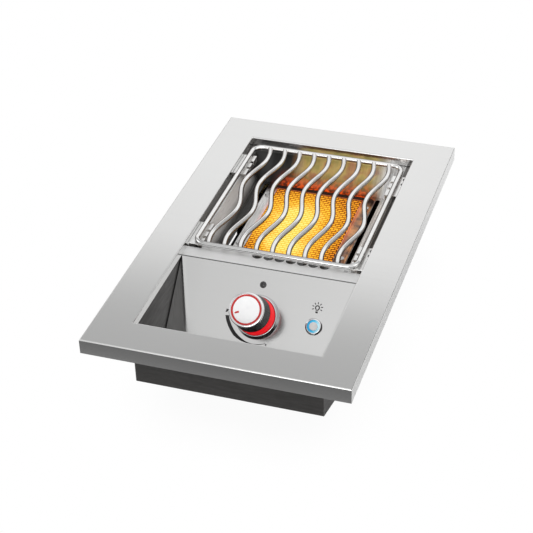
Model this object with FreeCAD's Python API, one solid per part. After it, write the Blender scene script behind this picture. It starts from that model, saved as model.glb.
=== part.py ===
# Built in side burner: a drop-in infrared gas burner in a sheet-metal casing.
# Units are millimetres. X points right, Y points to the back, Z points up.
# The origin is the middle of the casing's underside, so the burner stands on Z = 0.
import math
import os

import FreeCAD
import Part

Vector = FreeCAD.Vector

# Trim frame
frame_width = 343.0
frame_length = 568.0
overall_height = 150.0
frame_sheet = 1.2
frame_flange = 20.5
frame_return = 12.0
frame_bend = 1.8
side_rail = 50.5
front_rail = 51.5
rear_rail = 49.0
opening_lip = 12.0
opening_bend = 1.9

# Casing
casing_sheet = 1.0
casing_lip_gap = 0.2
casing_front_depth = 93.0
casing_corner = 2.5
vent_length = 54.0
vent_height = 10.0
vent_z = 28.0
vent_first = 40.0
vent_spacing = 80.0

# Control panel, folded from one sheet with the shelf above it
panel_sheet = 1.2
panel_angle = 45.0
panel_drop = 12.0
panel_reach = 169.8
shelf_depth = 26.2
panel_bend = 1.5
panel_side_gap = 0.1
panel_foot = 14.0
shelf_vent_radius = 4.5
shelf_vent_pitch = 12.7
shelf_vent_count = 11
shelf_vent_first_x = -49.5
shelf_vent_inset = 8.7
shelf_notch_width = 21.0
shelf_notch_depth = 5.5

# Firebox liner, a tapered pan
liner_sheet = 1.0
liner_rim_width = 10.2
liner_skirt = 13.0
liner_front_margin = 1.5
liner_rear_margin = 9.0
liner_floor_half = 97.0
liner_front_slope = 14.0
liner_rear_slope = 33.0
liner_depth = 31.8
slot_inner_x = 80.0
slot_width = 6.5
slot_inset = 26.0
slot_rear_margin = 7.0
liner_screw_inset = 38.0
liner_rear_screw_x = 60.0

# Cooking grid
rod_diameter = 7.0
rod_flats = 8
grid_drop = 0.5
grid_side_gap = 10.0
grid_front_overlap = 5.5
grid_rear_gap = 17.5
grid_corner = 15.0
turn_chords = 3
wave_rods = 9
wave_length = 136.0
wave_height = 8.4
wave_bend = 60.0
wave_chords = 3
wave_crest_gap = 47.0

# Grid rests
rest_sheet = 1.0
rest_width = 19.0
rest_length = 52.0
rest_leg = 9.0
rest_rear_margin = 64.5
rest_front_margin = 22.5
rest_trim = 5.0
rest_notch_pitch = 16.0
rest_notch_width = 5.0
rest_notch_depth = 4.0

# Infrared burner
burner_sheet = 1.0
burner_flange_half = 79.0
burner_flange_inset = 34.0
burner_rear_margin = 8.0
burner_corner = 8.0
tile_width = 125.0
tile_inset = 13.0
tile_rear_inset = 13.6
tile_thickness = 13.0
tile_above_flange = 3.5
tile_joint = 0.4
gasket_side = 2.2
gasket_base = 3.0
gasket_step = 7.0
plenum_depth = 51.0
plenum_slope = 4.0
rim_sheet = 1.0
rim_width = 13.0
rim_tile_gap = 0.5

# Gas train
venturi_drop = 80.0
venturi_radius = 12.5
venturi_wall = 1.0
venturi_insertion = 6.0
shutter_radius = 15.2
shutter_sheet = 1.0
shutter_gap = 0.5
shutter_window = 7.0
orifice_hex = 11.0
orifice_hex_length = 8.0
orifice_tip_length = 10.0
orifice_tip_radius = 3.5
orifice_bore = 0.9
barrel_hex = 12.0
barrel_length = 11.5
boss_hex = 16.0
boss_length = 8.0
pipe_radius = 4.75
pipe_wall = 0.8
pipe_x = -95.0
pipe_bend = 16.0
inlet_outside = 26.0
inlet_radius = 7.9
inlet_nut = 24.0
inlet_nut_thickness = 6.0

# Valve and its push-and-turn stem
valve_block = 27.0
valve_bonnet = 22.0
valve_bore_radius = 7.6
valve_plate_width = 40.0
valve_plate_height = 22.0
valve_plate_thickness = 3.0
stem_radius = 3.0
stem_flat = 2.2
stem_clearance = 0.1
collar_hex = 12.4
collar_thickness = 3.0
push_travel = 3.0
stem_tail = 8.0

# Knob, bezel and light ring, measured along the knob's axis from the panel
knob_x = -2.2
knob_down = 64.9
bezel_radius = 28.4
bezel_bore_radius = 25.3
bezel_height = 9.0
light_ring_radius = 24.9
light_ring_wall = 3.2
light_ring_height = 27.5
knob_gap = 3.5
knob_base_radius = 24.7
knob_top_radius = 23.0
knob_grip_length = 24.5
knob_inner_radius = 20.0
knob_flutes = 24
knob_flute_depth = 0.7
knob_land = 0.6
knob_cap_length = 3.8
pointer_length = 6.5
pointer_width = 1.8
pointer_reach = 15.8
pointer_height = 0.5
pointer_angle = 246.0
hub_radius = 7.0
web_thickness = 2.4
web_level = 14.0
web_width = 10.0

# Light button, indicator and their holes, measured down the panel from its top
button_margin = 48.6
button_down = 64.8
button_bezel_radius = 11.4
button_bezel_height = 3.2
button_lens_radius = 8.4
button_lens_top = 2.4
button_cap_radius = 5.6
button_cap_top = 3.6
button_travel = 1.6
button_body_radius = 9.6
button_body_length = 26.0
button_well = 8.0
button_nut = 26.0
button_nut_thickness = 3.5
indicator_x = -3.4
indicator_down = 22.0
indicator_radius = 4.5
indicator_barrel = 3.4
indicator_length = 9.0
indicator_dome = 0.9

# Heat shield between the burner and the controls
shield_sheet = 0.8
shield_reach = 4.5
shield_flange = 8.0
shield_hole = 20.0

# Ignition and lamp supply
module_length = 40.0
module_height = 34.0
module_depth = 22.0
module_reach = 25.3
module_lift = 5.7
module_ear = 7.0
module_ear_thickness = 2.0
electrode_x = 30.0
electrode_inset = 11.0
electrode_radius = 3.2
electrode_length = 26.0
electrode_above_floor = 6.0
electrode_wire_radius = 1.0
electrode_rise = 6.0
electrode_reach = 15.0
electrode_clip_sheet = 1.0
electrode_clip_length = 26.0
electrode_clip_width = 14.0
grommet_x = 95.0
grommet_bore_radius = 4.0
grommet_groove_radius = 7.0
grommet_hex = 19.0
grommet_rim = 2.5

# Fasteners
screw_head = 7.0
screw_head_height = 2.4
fit_gap = 0.1
seat_gap = 0.3

# Places worked out from the sizes above
frame_top = overall_height
frame_under = frame_top - frame_sheet
open_x = frame_width / 2 - side_rail
open_front = -frame_length / 2 + front_rail
open_rear = frame_length / 2 - rear_rail
lip_bottom = frame_top - opening_lip
wall_x = open_x + frame_sheet + casing_lip_gap
wall_front = open_front - frame_sheet - casing_lip_gap
wall_rear = open_rear + frame_sheet + casing_lip_gap
casing_x = wall_x + casing_sheet
button_x = wall_x - button_margin
casing_front = wall_front - casing_sheet
casing_rear = wall_rear + casing_sheet
casing_front_bottom = frame_top - casing_front_depth
shelf_z = frame_top - panel_drop
rim_z = shelf_z - panel_sheet
panel_seam_y = open_front + panel_reach
shelf_rear_y = panel_seam_y + shelf_depth
shelf_vent_y = shelf_rear_y - shelf_vent_inset
pan_half = wall_x - liner_rim_width
liner_front_y = shelf_rear_y - liner_front_margin
liner_rear_y = open_rear - liner_rear_margin
liner_floor_front_y = liner_front_y + liner_front_slope
liner_floor_rear_y = liner_rear_y - liner_rear_slope
slot_front_y = liner_floor_front_y + slot_inset
slot_rear_y = liner_floor_rear_y - slot_rear_margin
burner_flange_front_y = liner_front_y + burner_flange_inset
burner_flange_rear_y = liner_floor_rear_y - burner_rear_margin
tile_front_y = burner_flange_front_y + tile_inset
tile_length = (burner_flange_rear_y - tile_rear_inset - tile_front_y - tile_joint) / 2
electrode_y = liner_floor_front_y + electrode_inset
casing_knee_y = liner_front_y
floor_angle = math.atan2(casing_front_bottom, casing_knee_y - casing_front)
grid_half_width = open_x - grid_side_gap
grid_front_y = shelf_rear_y - grid_front_overlap
grid_rear_y = open_rear - grid_rear_gap
wave_pitch = 2 * grid_half_width / (wave_rods + 1)
wave_crest_y = open_rear - wave_crest_gap
rest_rear_y = open_rear - rest_rear_margin
rest_front_y = shelf_rear_y + rest_front_margin
floor_z = rim_z - liner_depth
flange_z = floor_z + burner_sheet
tile_top = flange_z + tile_above_flange
tile_bottom = tile_top - tile_thickness
tile_rear_y = tile_front_y + 2 * tile_length + tile_joint
tile_half = tile_width / 2
gasket_half = tile_half + gasket_side
rod_radius = rod_diameter / 2
grid_z = frame_top - grid_drop - rod_radius
rest_top = grid_z - rod_radius
slope = math.radians(panel_angle)
panel_back = -panel_sheet
knob_base = light_ring_height + knob_gap
knob_grip_top = knob_base + knob_grip_length
knob_top = knob_grip_top + knob_cap_length
venturi_height = frame_top - venturi_drop
valve_depth = (shelf_z - knob_down * math.sin(slope) - venturi_height) / math.sin(slope)
valve_y = panel_seam_y - knob_down * math.cos(slope) + valve_depth * math.cos(slope)
bonnet_top = panel_back - valve_plate_thickness
block_top = -valve_depth + valve_block / 2
chamber_floor = bonnet_top - collar_thickness - push_travel - 2 * seat_gap
boss_end = valve_block / 2 + boss_length
barrel_end = valve_y + valve_block / 2 + barrel_length
shutter_y = barrel_end + orifice_hex_length + shutter_gap
venturi_mouth_y = shutter_y + shutter_sheet
shield_y = barrel_end + shield_reach
module_y = panel_seam_y - module_reach
plenum_bottom = floor_z - plenum_depth


def box(x0, x1, y0, y1, z0, z1):
    """A box between two corners."""
    return Part.makeBox(x1 - x0, y1 - y0, z1 - z0, Vector(x0, y0, z0))


def rounded_face(x0, x1, y0, y1, z, radius):
    """A level rectangle with rounded corners."""
    corners = []
    for cx, cy, start in ((x1 - radius, y1 - radius, 0), (x0 + radius, y1 - radius, 90),
                          (x0 + radius, y0 + radius, 180), (x1 - radius, y0 + radius, 270)):
        circle = Part.Circle(Vector(cx, cy, z), Vector(0, 0, 1), radius)
        arc = Part.Arc(circle, math.radians(start), math.radians(start + 90))
        corners.append(arc.toShape())
    edges = []
    for index, corner in enumerate(corners):
        edges.append(corner)
        following = corners[(index + 1) % 4]
        edges.append(Part.makeLine(corner.Vertexes[1].Point, following.Vertexes[0].Point))
    return Part.Face(Part.Wire(edges))


def plate(x0, x1, y0, y1, z0, z1, radius):
    """An upright prism on a rounded rectangle."""
    return rounded_face(x0, x1, y0, y1, z0, radius).extrude(Vector(0, 0, z1 - z0))


def tapered(low, high):
    """A straight-sided block between two level rectangles (x half, y0, y1, z)."""
    rings = []
    for half, y0, y1, z in (low, high):
        rings.append([Vector(-half, y0, z), Vector(half, y0, z), Vector(half, y1, z), Vector(-half, y1, z)])
    loops = [rings[0], rings[1]]
    for index in range(4):
        after = (index + 1) % 4
        loops.append([rings[0][index], rings[0][after], rings[1][after], rings[1][index]])
    faces = [Part.Face(Part.makePolygon(loop + [loop[0]])) for loop in loops]
    return Part.makeSolid(Part.makeShell(faces))


def cylinder(radius, length, base, direction):
    """A cylinder from its base centre along a direction."""
    return Part.makeCylinder(radius, length, base, direction)


def rounded_outline(points, place):
    """A closed outline of lines and tangent arcs; each point is (a, b, radius)."""
    ends = []
    for index, (a, b, radius) in enumerate(points):
        here = place(a, b)
        before = place(*points[index - 1][:2])
        after = place(*points[(index + 1) % len(points)][:2])
        to_before = (before - here).normalize()
        to_after = (after - here).normalize()
        if radius <= 0:
            ends.append((here, here, None))
            continue
        half = to_before.getAngle(to_after) / 2
        tangent = radius / math.tan(half)
        middle = (to_before + to_after).normalize()
        centre = here + middle * (radius / math.sin(half))
        ends.append((here + to_before * tangent, here + to_after * tangent,
                     centre - middle * radius))
    edges = []
    for index, (start, end, through) in enumerate(ends):
        if through is not None:
            edges.append(Part.Arc(start, through, end).toShape())
        following = ends[(index + 1) % len(ends)][0]
        if (following - end).Length > 1e-6:
            edges.append(Part.makeLine(end, following))
    return Part.Face(Part.Wire(edges))


def side_place(a, b):
    """Puts an outline in the plane X = 0, with a along Y and b along Z."""
    return Vector(0, a, b)


def offset_line(points, distance):
    """The same open line moved to its left by a distance, with mitred corners."""
    moved = []
    for index, (a, b) in enumerate(points):
        normals = []
        for start, end in ((index - 1, index), (index, index + 1)):
            if start < 0 or end >= len(points):
                continue
            da = points[end][0] - points[start][0]
            db = points[end][1] - points[start][1]
            length = math.hypot(da, db)
            normals.append((-db / length, da / length))
        na = sum(n[0] for n in normals) / len(normals)
        nb = sum(n[1] for n in normals) / len(normals)
        stretch = distance / (na * na + nb * nb)
        moved.append((a + na * stretch, b + nb * stretch))
    return moved


def folded_sheet(line, thickness, bend, half_width):
    """A sheet bent along an open line, as thick to the line's left as stated."""
    far = offset_line(line, thickness)
    outline = []
    for points, inner_when_left in ((line, False), (far, True)):
        side = []
        for index, (a, b) in enumerate(points):
            if index in (0, len(points) - 1):
                side.append((a, b, 0))
                continue
            before, after = line[index - 1], line[index + 1]
            here = line[index]
            turn = ((here[0] - before[0]) * (after[1] - here[1])
                    - (here[1] - before[1]) * (after[0] - here[0]))
            inside = (turn > 0) == inner_when_left
            side.append((a, b, bend if inside else bend + thickness))
        outline.append(side)
    points = outline[0] + outline[1][::-1]
    face = rounded_outline(points, side_place)
    face.translate(Vector(-half_width, 0, 0))
    return face.extrude(Vector(2 * half_width, 0, 0))


def turned(points, axis_base=Vector(0, 0, 0)):
    """A solid turned about the local Z axis; each point is (radius, height)."""
    corners = [Vector(radius, 0, height) for radius, height in points]
    face = Part.Face(Part.makePolygon(corners + [corners[0]]))
    solid = face.revolve(Vector(0, 0, 0), Vector(0, 0, 1), 360)
    solid.translate(axis_base)
    return solid


def along_y(shape, x, y, z):
    """Lays a shape made about the Z axis along +Y at a point."""
    laid = shape.copy()
    laid.Placement = FreeCAD.Placement(Vector(x, y, z),
                                       FreeCAD.Rotation(Vector(1, 0, 0), -90)).multiply(laid.Placement)
    return laid


def on_panel(shape, x=0.0, down=0.0):
    """Moves a shape from panel axes (across, up the slope, outward) to its place."""
    place = FreeCAD.Placement(Vector(0, panel_seam_y, shelf_z),
                              FreeCAD.Rotation(Vector(1, 0, 0), panel_angle))
    shift = FreeCAD.Placement(Vector(x, -down, 0), FreeCAD.Rotation())
    moved = shape.copy()
    moved.Placement = place.multiply(shift).multiply(moved.Placement)
    return moved


def hexagon(across, length, sides=6):
    """A prism on the local Z axis with a regular outline, its size measured across flats."""
    reach = across / 2 / math.cos(math.pi / sides)
    corners = []
    for step in range(sides + 1):
        angle = 2 * math.pi * (step + 0.5) / sides
        corners.append(Vector(reach * math.cos(angle), reach * math.sin(angle), 0))
    return Part.Face(Part.makePolygon(corners)).extrude(Vector(0, 0, length))


def laid(shape, base, direction):
    """Lays a shape made about the Z axis along a direction from a base point."""
    moved = shape.copy()
    moved.Placement = FreeCAD.Placement(base, FreeCAD.Rotation(Vector(0, 0, 1), direction))
    return moved


def screw(base, direction):
    """A hexagon screw head seated at base, its shank pointing along direction."""
    head = hexagon(screw_head, screw_head_height)
    head.Placement = FreeCAD.Placement(base - direction * screw_head_height,
                                       FreeCAD.Rotation(Vector(0, 0, 1), direction))
    return head


def casing_floor(y):
    """The height of the casing's outer floor under a point."""
    return max(0.0, (casing_knee_y - y) * math.tan(floor_angle))


def make_trim_frame():
    """The counter trim: a folded frame with a return at its foot and a lip in its opening."""
    half_w = frame_width / 2
    half_l = frame_length / 2
    foot = frame_top - frame_flange
    frame = box(-half_w, half_w, -half_l, half_l, foot, frame_top)
    rims = [edge for edge in frame.Edges if edge.BoundBox.ZMin > frame_top - 0.01]
    frame = frame.makeFillet(frame_bend, rims)
    inside = box(-half_w + frame_sheet, half_w - frame_sheet, -half_l + frame_sheet,
                 half_l - frame_sheet, foot + frame_sheet, frame_under)
    below = box(-half_w + frame_return, half_w - frame_return, -half_l + frame_return,
                half_l - frame_return, foot, foot + frame_sheet)
    frame = frame.cut(inside).cut(below)
    lip = box(-open_x - frame_sheet, open_x + frame_sheet, open_front - frame_sheet,
              open_rear + frame_sheet, lip_bottom, frame_under)
    opening = box(-open_x, open_x, open_front, open_rear, lip_bottom - 1.0, frame_top + 1.0)
    frame = frame.fuse(lip).cut(opening).removeSplitter()
    edges = []
    for edge in frame.Edges:
        bound = edge.BoundBox
        centre = bound.Center
        inward = abs(centre.x) < open_x + 0.01 and open_front - 0.01 < centre.y < open_rear + 0.01
        if bound.ZMin > frame_top - 0.01 and inward:
            edges.append(edge)
    return frame.makeFillet(opening_bend, edges)



def casing_outline(lift):
    """The casing's side outline as (y, z, corner radius), its top left open by a lift."""
    return [(casing_front, frame_under + lift, 0), (casing_front, casing_front_bottom, casing_corner),
            (casing_knee_y, 0, casing_corner), (casing_rear, 0, casing_corner),
            (casing_rear, frame_under + lift, 0)]


def make_casing():
    """The casing's wrap: front, sloping floor, level floor and back, folded from one sheet."""
    outer = casing_outline(0)
    inner_line = offset_line([(a, b) for a, b, _ in outer], casing_sheet)
    inner = []
    for (a, b), (_, _, radius) in zip(inner_line, outer):
        if radius:
            inner.append((a, b, radius - casing_sheet))
        else:
            inner.append((a, b + 1.0, 0))
    shells = []
    for points in (outer, inner):
        face = rounded_outline(points, side_place)
        face.translate(Vector(-wall_x, 0, 0))
        shells.append(face.extrude(Vector(2 * wall_x, 0, 0)))
    cuts = []
    for radius, x in ((inlet_radius + fit_gap, pipe_x), (grommet_groove_radius + fit_gap, grommet_x)):
        cuts.append(cylinder(radius, 4 * casing_sheet,
                             Vector(x, wall_rear - casing_sheet, venturi_height), Vector(0, 1, 0)))
    return shells[0].cut(shells[1]).cut(Part.makeCompound(cuts))


def make_casing_side(side):
    """One side plate of the casing, with its two vent slots."""
    face = rounded_outline(casing_outline(0), side_place)
    face.translate(Vector(wall_x, 0, 0))
    panel = face.extrude(Vector(casing_sheet, 0, 0))
    cuts = []
    for step in (0, 1):
        front = tile_front_y + vent_first + step * vent_spacing - vent_length / 2
        cuts.append(box(wall_x - casing_sheet, casing_x + casing_sheet, front, front + vent_length,
                        vent_z, vent_z + vent_height))
    panel = panel.cut(Part.makeCompound(cuts))
    if side < 0:
        panel = panel.mirror(Vector(0, 0, 0), Vector(1, 0, 0))
    return panel


def panel_line():
    """The top line of the control panel's sheet, from the shelf's rear edge to the foot."""
    inner_floor = casing_sheet / math.cos(floor_angle)
    fall = math.tan(floor_angle)
    tilt = math.tan(slope)
    foot_thick = panel_sheet / math.cos(floor_angle)
    reach = (shelf_z - inner_floor - foot_thick - fall * (casing_knee_y - panel_seam_y)) / (tilt + fall)
    toe_y = panel_seam_y - reach
    toe_z = shelf_z - reach * tilt
    foot_y = toe_y - panel_foot * math.cos(floor_angle)
    foot_z = toe_z + panel_foot * math.sin(floor_angle)
    return [(shelf_rear_y, shelf_z), (panel_seam_y, shelf_z), (toe_y, toe_z), (foot_y, foot_z)]


def make_control_panel():
    """The shelf and the sloping control panel, one sheet with a foot on the casing floor."""
    half = wall_x - panel_side_gap
    sheet = folded_sheet(panel_line(), panel_sheet, panel_bend, half)
    cuts = []
    for index in range(shelf_vent_count):
        vent = hexagon(2 * shelf_vent_radius, 3 * panel_sheet, 8)
        vent.translate(Vector(shelf_vent_first_x + index * shelf_vent_pitch, shelf_vent_y,
                              shelf_z - 2 * panel_sheet))
        cuts.append(vent)
    for side in (-1, 1):
        inner = side * (half - shelf_notch_width)
        outer = side * (half + panel_sheet)
        cuts.append(box(min(inner, outer), max(inner, outer), shelf_rear_y - shelf_notch_depth,
                        shelf_rear_y + panel_sheet, shelf_z - 2 * panel_sheet, shelf_z + panel_sheet))
    for radius, x, down in ((stem_radius + 1.0, knob_x, knob_down),
                            (button_body_radius + fit_gap, button_x, button_down),
                            (indicator_barrel + fit_gap, indicator_x, indicator_down)):
        hole = cylinder(radius, 4 * panel_sheet, Vector(0, 0, -3 * panel_sheet), Vector(0, 0, 1))
        cuts.append(on_panel(hole, x, down))
    return sheet.cut(Part.makeCompound(cuts))


def valve_screw_offset():
    """The sideways distance of the valve's two screws from the knob axis."""
    return valve_plate_width / 2 - screw_head / 2 - 0.8


def make_firebox_liner():
    """The firebox: a tapered pan with a rim, a skirt against the casing, and air slots."""
    t = liner_sheet
    outer = tapered((liner_floor_half, liner_floor_front_y, liner_floor_rear_y, floor_z - t),
                    (pan_half, liner_front_y, liner_rear_y, rim_z))
    rim_front = liner_front_y - liner_rim_width + t
    outside = wall_x - fit_gap
    rear = wall_rear - fit_gap
    skirt = box(-outside, outside, rim_front, rear, rim_z - liner_skirt, rim_z)
    hollow = box(-outside + t, outside - t, rim_front + t, rear - t, rim_z - liner_skirt - t,
                 rim_z - t)
    inner = tapered((liner_floor_half - t, liner_floor_front_y + t, liner_floor_rear_y - t, floor_z),
                    (pan_half - t, liner_front_y + t, liner_rear_y - t, rim_z + 2 * t))
    liner = skirt.cut(hollow).fuse(outer).cut(inner).removeSplitter()
    cuts = []
    for side in (-1, 1):
        edges = sorted((side * slot_inner_x, side * (slot_inner_x + slot_width)))
        cuts.append(plate(edges[0], edges[1], slot_front_y, slot_rear_y, floor_z - 2 * t,
                          floor_z + t, slot_width / 2 - 0.05))
    step_half = gasket_half + burner_sheet + seat_gap
    cuts.append(box(-step_half, step_half, tile_front_y - gasket_side - burner_sheet - seat_gap,
                    tile_rear_y + gasket_side + burner_sheet + seat_gap, floor_z - 2 * t,
                    floor_z + t))
    cuts.append(cylinder(electrode_radius + fit_gap, 4 * t,
                         Vector(electrode_x, electrode_y, floor_z - 2 * t), Vector(0, 0, 1)))
    return liner.cut(Part.makeCompound(cuts))


def liner_screw_places():
    """Head seats and directions of the screws that hold the liner's skirt to the casing."""
    z = rim_z - liner_skirt / 2
    places = []
    for step in range(3):
        span = liner_rear_y - liner_front_y - 2 * liner_screw_inset
        y = liner_front_y + liner_screw_inset + step * span / 2
        places.append((Vector(-casing_x, y, z), Vector(1, 0, 0)))
        places.append((Vector(casing_x, y, z), Vector(-1, 0, 0)))
    for x in (-liner_rear_screw_x, liner_rear_screw_x):
        places.append((Vector(x, casing_rear, z), Vector(0, -1, 0)))
    return places


def burner_screw_places():
    """Head seats and directions of the four screws in the burner's flange."""
    x = burner_flange_half - screw_head / 2 - 1.2
    places = []
    for y in (burner_flange_front_y + 30.0, burner_flange_rear_y - 30.0):
        places.append((Vector(-x + 1.0, y, flange_z + rim_sheet), Vector(0, 0, -1)))
        places.append((Vector(x - 1.0, y, flange_z + rim_sheet), Vector(0, 0, -1)))
    return places


def clip_screw_places():
    """Head seat and direction of the screw that holds the electrode's clip."""
    x = electrode_x - electrode_clip_length + electrode_clip_width / 2 + 4.0
    return [(Vector(x, electrode_y, floor_z + electrode_clip_sheet), Vector(0, 0, -1))]


def module_bottom():
    """The height of the modules' undersides, clear of the sloping floor."""
    return casing_floor(module_y - module_length / 2 - module_ear) + module_lift


def module_screw_places():
    """Head seats and directions of the screws that hold the two supply modules."""
    places = []
    for side in (-1, 1):
        for y in (module_y - module_length / 2 - module_ear / 2,
                  module_y + module_length / 2 + module_ear / 2):
            places.append((Vector(side * casing_x, y, module_bottom() + module_height / 2),
                           Vector(-side, 0, 0)))
    return places


def make_grid_rest(side, y):
    """A folded rest on the liner's rim, with a notched inner leg."""
    t = rest_sheet
    outside = open_x - seat_gap
    inside = outside - rest_width
    front = y - rest_length / 2
    rear = y + rest_length / 2
    rest = box(inside, outside, front, rear, rest_top - t, rest_top)
    rest = rest.fuse(box(outside - t, outside, front, rear, rim_z, rest_top))
    leg_front = max(front, liner_front_y + rest_trim)
    rest = rest.fuse(box(inside, inside + t, leg_front, rear, rest_top - rest_leg, rest_top))
    cuts = []
    for step in (-0.5, 0.5):
        middle = y + step * rest_notch_pitch
        cuts.append(box(inside - t, inside + rest_notch_depth, middle - rest_notch_width / 2,
                        middle + rest_notch_width / 2, rest_top - rest_leg / 2, rest_top + t))
    rest = rest.removeSplitter().cut(Part.makeCompound(cuts))
    if side < 0:
        rest = rest.mirror(Vector(0, 0, 0), Vector(1, 0, 0))
    return rest


def rod_along(points):
    """A rod along a line of straight runs, mitred where they meet, with a few flats for its round."""
    path = Part.makePolygon(points)
    direction = (points[1] - points[0]).normalize()
    across = Vector(0, 0, 1).cross(direction)
    reach = rod_radius / math.cos(math.pi / rod_flats)
    corners = []
    for step in range(rod_flats + 1):
        angle = 2 * math.pi * (step + 0.5) / rod_flats
        corners.append(points[0] + across * (reach * math.cos(angle))
                       + Vector(0, 0, reach * math.sin(angle)))
    return path.makePipeShell([Part.makePolygon(corners)], True, False, 1)


def bend_points(before, corner, after, radius, count):
    """The corners of the straight runs that stand in for one bend of a rod."""
    back = (before - corner).normalize()
    ahead = (after - corner).normalize()
    half = back.getAngle(ahead) / 2
    centre = corner + (back + ahead).normalize() * (radius / math.sin(half))
    start = corner + back * (radius / math.tan(half)) - centre
    turn = math.pi - 2 * half
    axis = back.cross(ahead)
    sign = -1 if axis.z > 0 else 1
    reach = 1 / math.cos(turn / (2 * count))
    points = []
    for index in range(count):
        swing = FreeCAD.Rotation(Vector(0, 0, 1), math.degrees(sign * turn * (index + 0.5) / count))
        points.append(centre + swing.multVec(start) * reach)
    return points


def wave_points(x):
    """The centre line of one wave rod, from the front of the grid to its back."""
    half = wave_length / 2
    first = math.ceil((grid_front_y - wave_crest_y) / half) - 1
    last = math.floor((grid_rear_y - wave_crest_y) / half) + 1
    corners = []
    for step in range(first, last + 1):
        height = wave_height if step % 2 == 0 else -wave_height
        corners.append(Vector(x + height, wave_crest_y + step * half, grid_z))
    start = corners[0] + (corners[1] - corners[0]) * ((grid_front_y - corners[0].y) / half)
    end = corners[-2] + (corners[-1] - corners[-2]) * ((grid_rear_y - corners[-2].y) / half)
    points = [start]
    for index in range(1, len(corners) - 1):
        points += bend_points(corners[index - 1], corners[index], corners[index + 1], wave_bend,
                              wave_chords)
    return points + [end]


def make_cooking_grid():
    """The cooking grid: wave rods welded into a closed rod frame."""
    corners = [Vector(grid_half_width, grid_front_y, grid_z), Vector(grid_half_width, grid_rear_y, grid_z),
               Vector(-grid_half_width, grid_rear_y, grid_z),
               Vector(-grid_half_width, grid_front_y, grid_z)]
    points = [Vector(0, grid_front_y, grid_z)]
    for index, corner in enumerate(corners):
        points += bend_points(corners[index - 1], corner, corners[(index + 1) % 4], grid_corner,
                              turn_chords)
    grid = rod_along(points + [points[0]])
    middle = (wave_rods - 1) / 2
    rods = [rod_along(wave_points((index - middle) * wave_pitch)) for index in range(wave_rods)]
    return grid.fuse(rods)


def make_burner_box():
    """The burner's plenum: a stepped box with a flange on the liner floor."""
    t = burner_sheet
    flange = plate(-burner_flange_half, burner_flange_half, burner_flange_front_y,
                   burner_flange_rear_y, floor_z, flange_z, burner_corner)
    front = tile_front_y - gasket_side
    rear = tile_rear_y + gasket_side
    step_z = tile_bottom - gasket_base
    upper = box(-gasket_half - t, gasket_half + t, front - t, rear + t, step_z - t, flange_z)
    upper_inside = box(-gasket_half, gasket_half, front, rear, step_z, flange_z + t)
    low_half = gasket_half - gasket_step
    fall = plenum_slope
    lower = tapered((low_half - fall + t, front + gasket_step + fall - t, rear - gasket_step - fall + t,
                     plenum_bottom), (low_half + t, front + gasket_step - t, rear - gasket_step + t,
                                      plenum_bottom + fall))
    lower = lower.fuse(box(-low_half - t, low_half + t, front + gasket_step - t,
                           rear - gasket_step + t, plenum_bottom + fall, step_z))
    lower_inside = tapered((low_half - fall, front + gasket_step + fall, rear - gasket_step - fall,
                            plenum_bottom + t), (low_half, front + gasket_step, rear - gasket_step,
                                                 plenum_bottom + fall + t / 2))
    lower_inside = lower_inside.fuse(box(-low_half, low_half, front + gasket_step,
                                         rear - gasket_step, plenum_bottom + fall + t / 2,
                                         step_z + t))
    shell = flange.fuse(upper).fuse(lower).cut(upper_inside).cut(lower_inside)
    hole = cylinder(venturi_radius + fit_gap, 4 * t,
                    Vector(knob_x, front + gasket_step - 3 * t, venturi_height), Vector(0, 1, 0))
    return shell.cut(hole).removeSplitter()


def make_burner_rim():
    """The retaining frame round the tiles, with a low upstand beside them."""
    inner = tile_half + rim_tile_gap
    front = tile_front_y - rim_tile_gap
    rear = tile_rear_y + rim_tile_gap
    ring = plate(-inner - rim_width, inner + rim_width, front - rim_width + 1.0,
                 rear + rim_width - 1.0, flange_z, flange_z + rim_sheet, burner_corner - 2)
    upstand = box(-inner - rim_sheet, inner + rim_sheet, front - rim_sheet, rear + rim_sheet,
                  flange_z, tile_top - 0.5)
    hole = box(-inner, inner, front, rear, flange_z - 1, tile_top + 1)
    return ring.fuse(upstand).cut(hole).removeSplitter()


def make_tile(index):
    """One ceramic burner tile with eased upper edges."""
    front = tile_front_y + index * (tile_length + tile_joint)
    tile = box(-tile_half, tile_half, front, front + tile_length, tile_bottom, tile_top)
    edges = [edge for edge in tile.Edges if edge.BoundBox.ZMin > tile_top - 0.01]
    return tile.makeChamfer(0.8, edges)


def make_tile_gasket():
    """The fibre gasket that beds the tiles: a ledge under them and a wall beside them."""
    front = tile_front_y - gasket_side + fit_gap
    rear = tile_rear_y + gasket_side - fit_gap
    half = gasket_half - fit_gap
    outer = box(-half, half, front, rear, tile_bottom - gasket_base, flange_z)
    seat = box(-tile_half - fit_gap, tile_half + fit_gap, tile_front_y - fit_gap,
               tile_rear_y + fit_gap, tile_bottom, flange_z + 1)
    window = gasket_step + 1.0
    hole = box(-half + window, half - window, front + window, rear - window,
               tile_bottom - gasket_base - 1, tile_bottom + 1)
    return outer.cut(seat).cut(hole)


def make_venturi():
    """The mixing tube that feeds the plenum."""
    end = tile_front_y - gasket_side + gasket_step + venturi_insertion
    length = end - venturi_mouth_y
    tube = cylinder(venturi_radius, length, Vector(0, 0, 0), Vector(0, 0, 1))
    tube = tube.cut(cylinder(venturi_radius - venturi_wall, length + 2, Vector(0, 0, -1), Vector(0, 0, 1)))
    return along_y(tube, knob_x, venturi_mouth_y, venturi_height)


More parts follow.
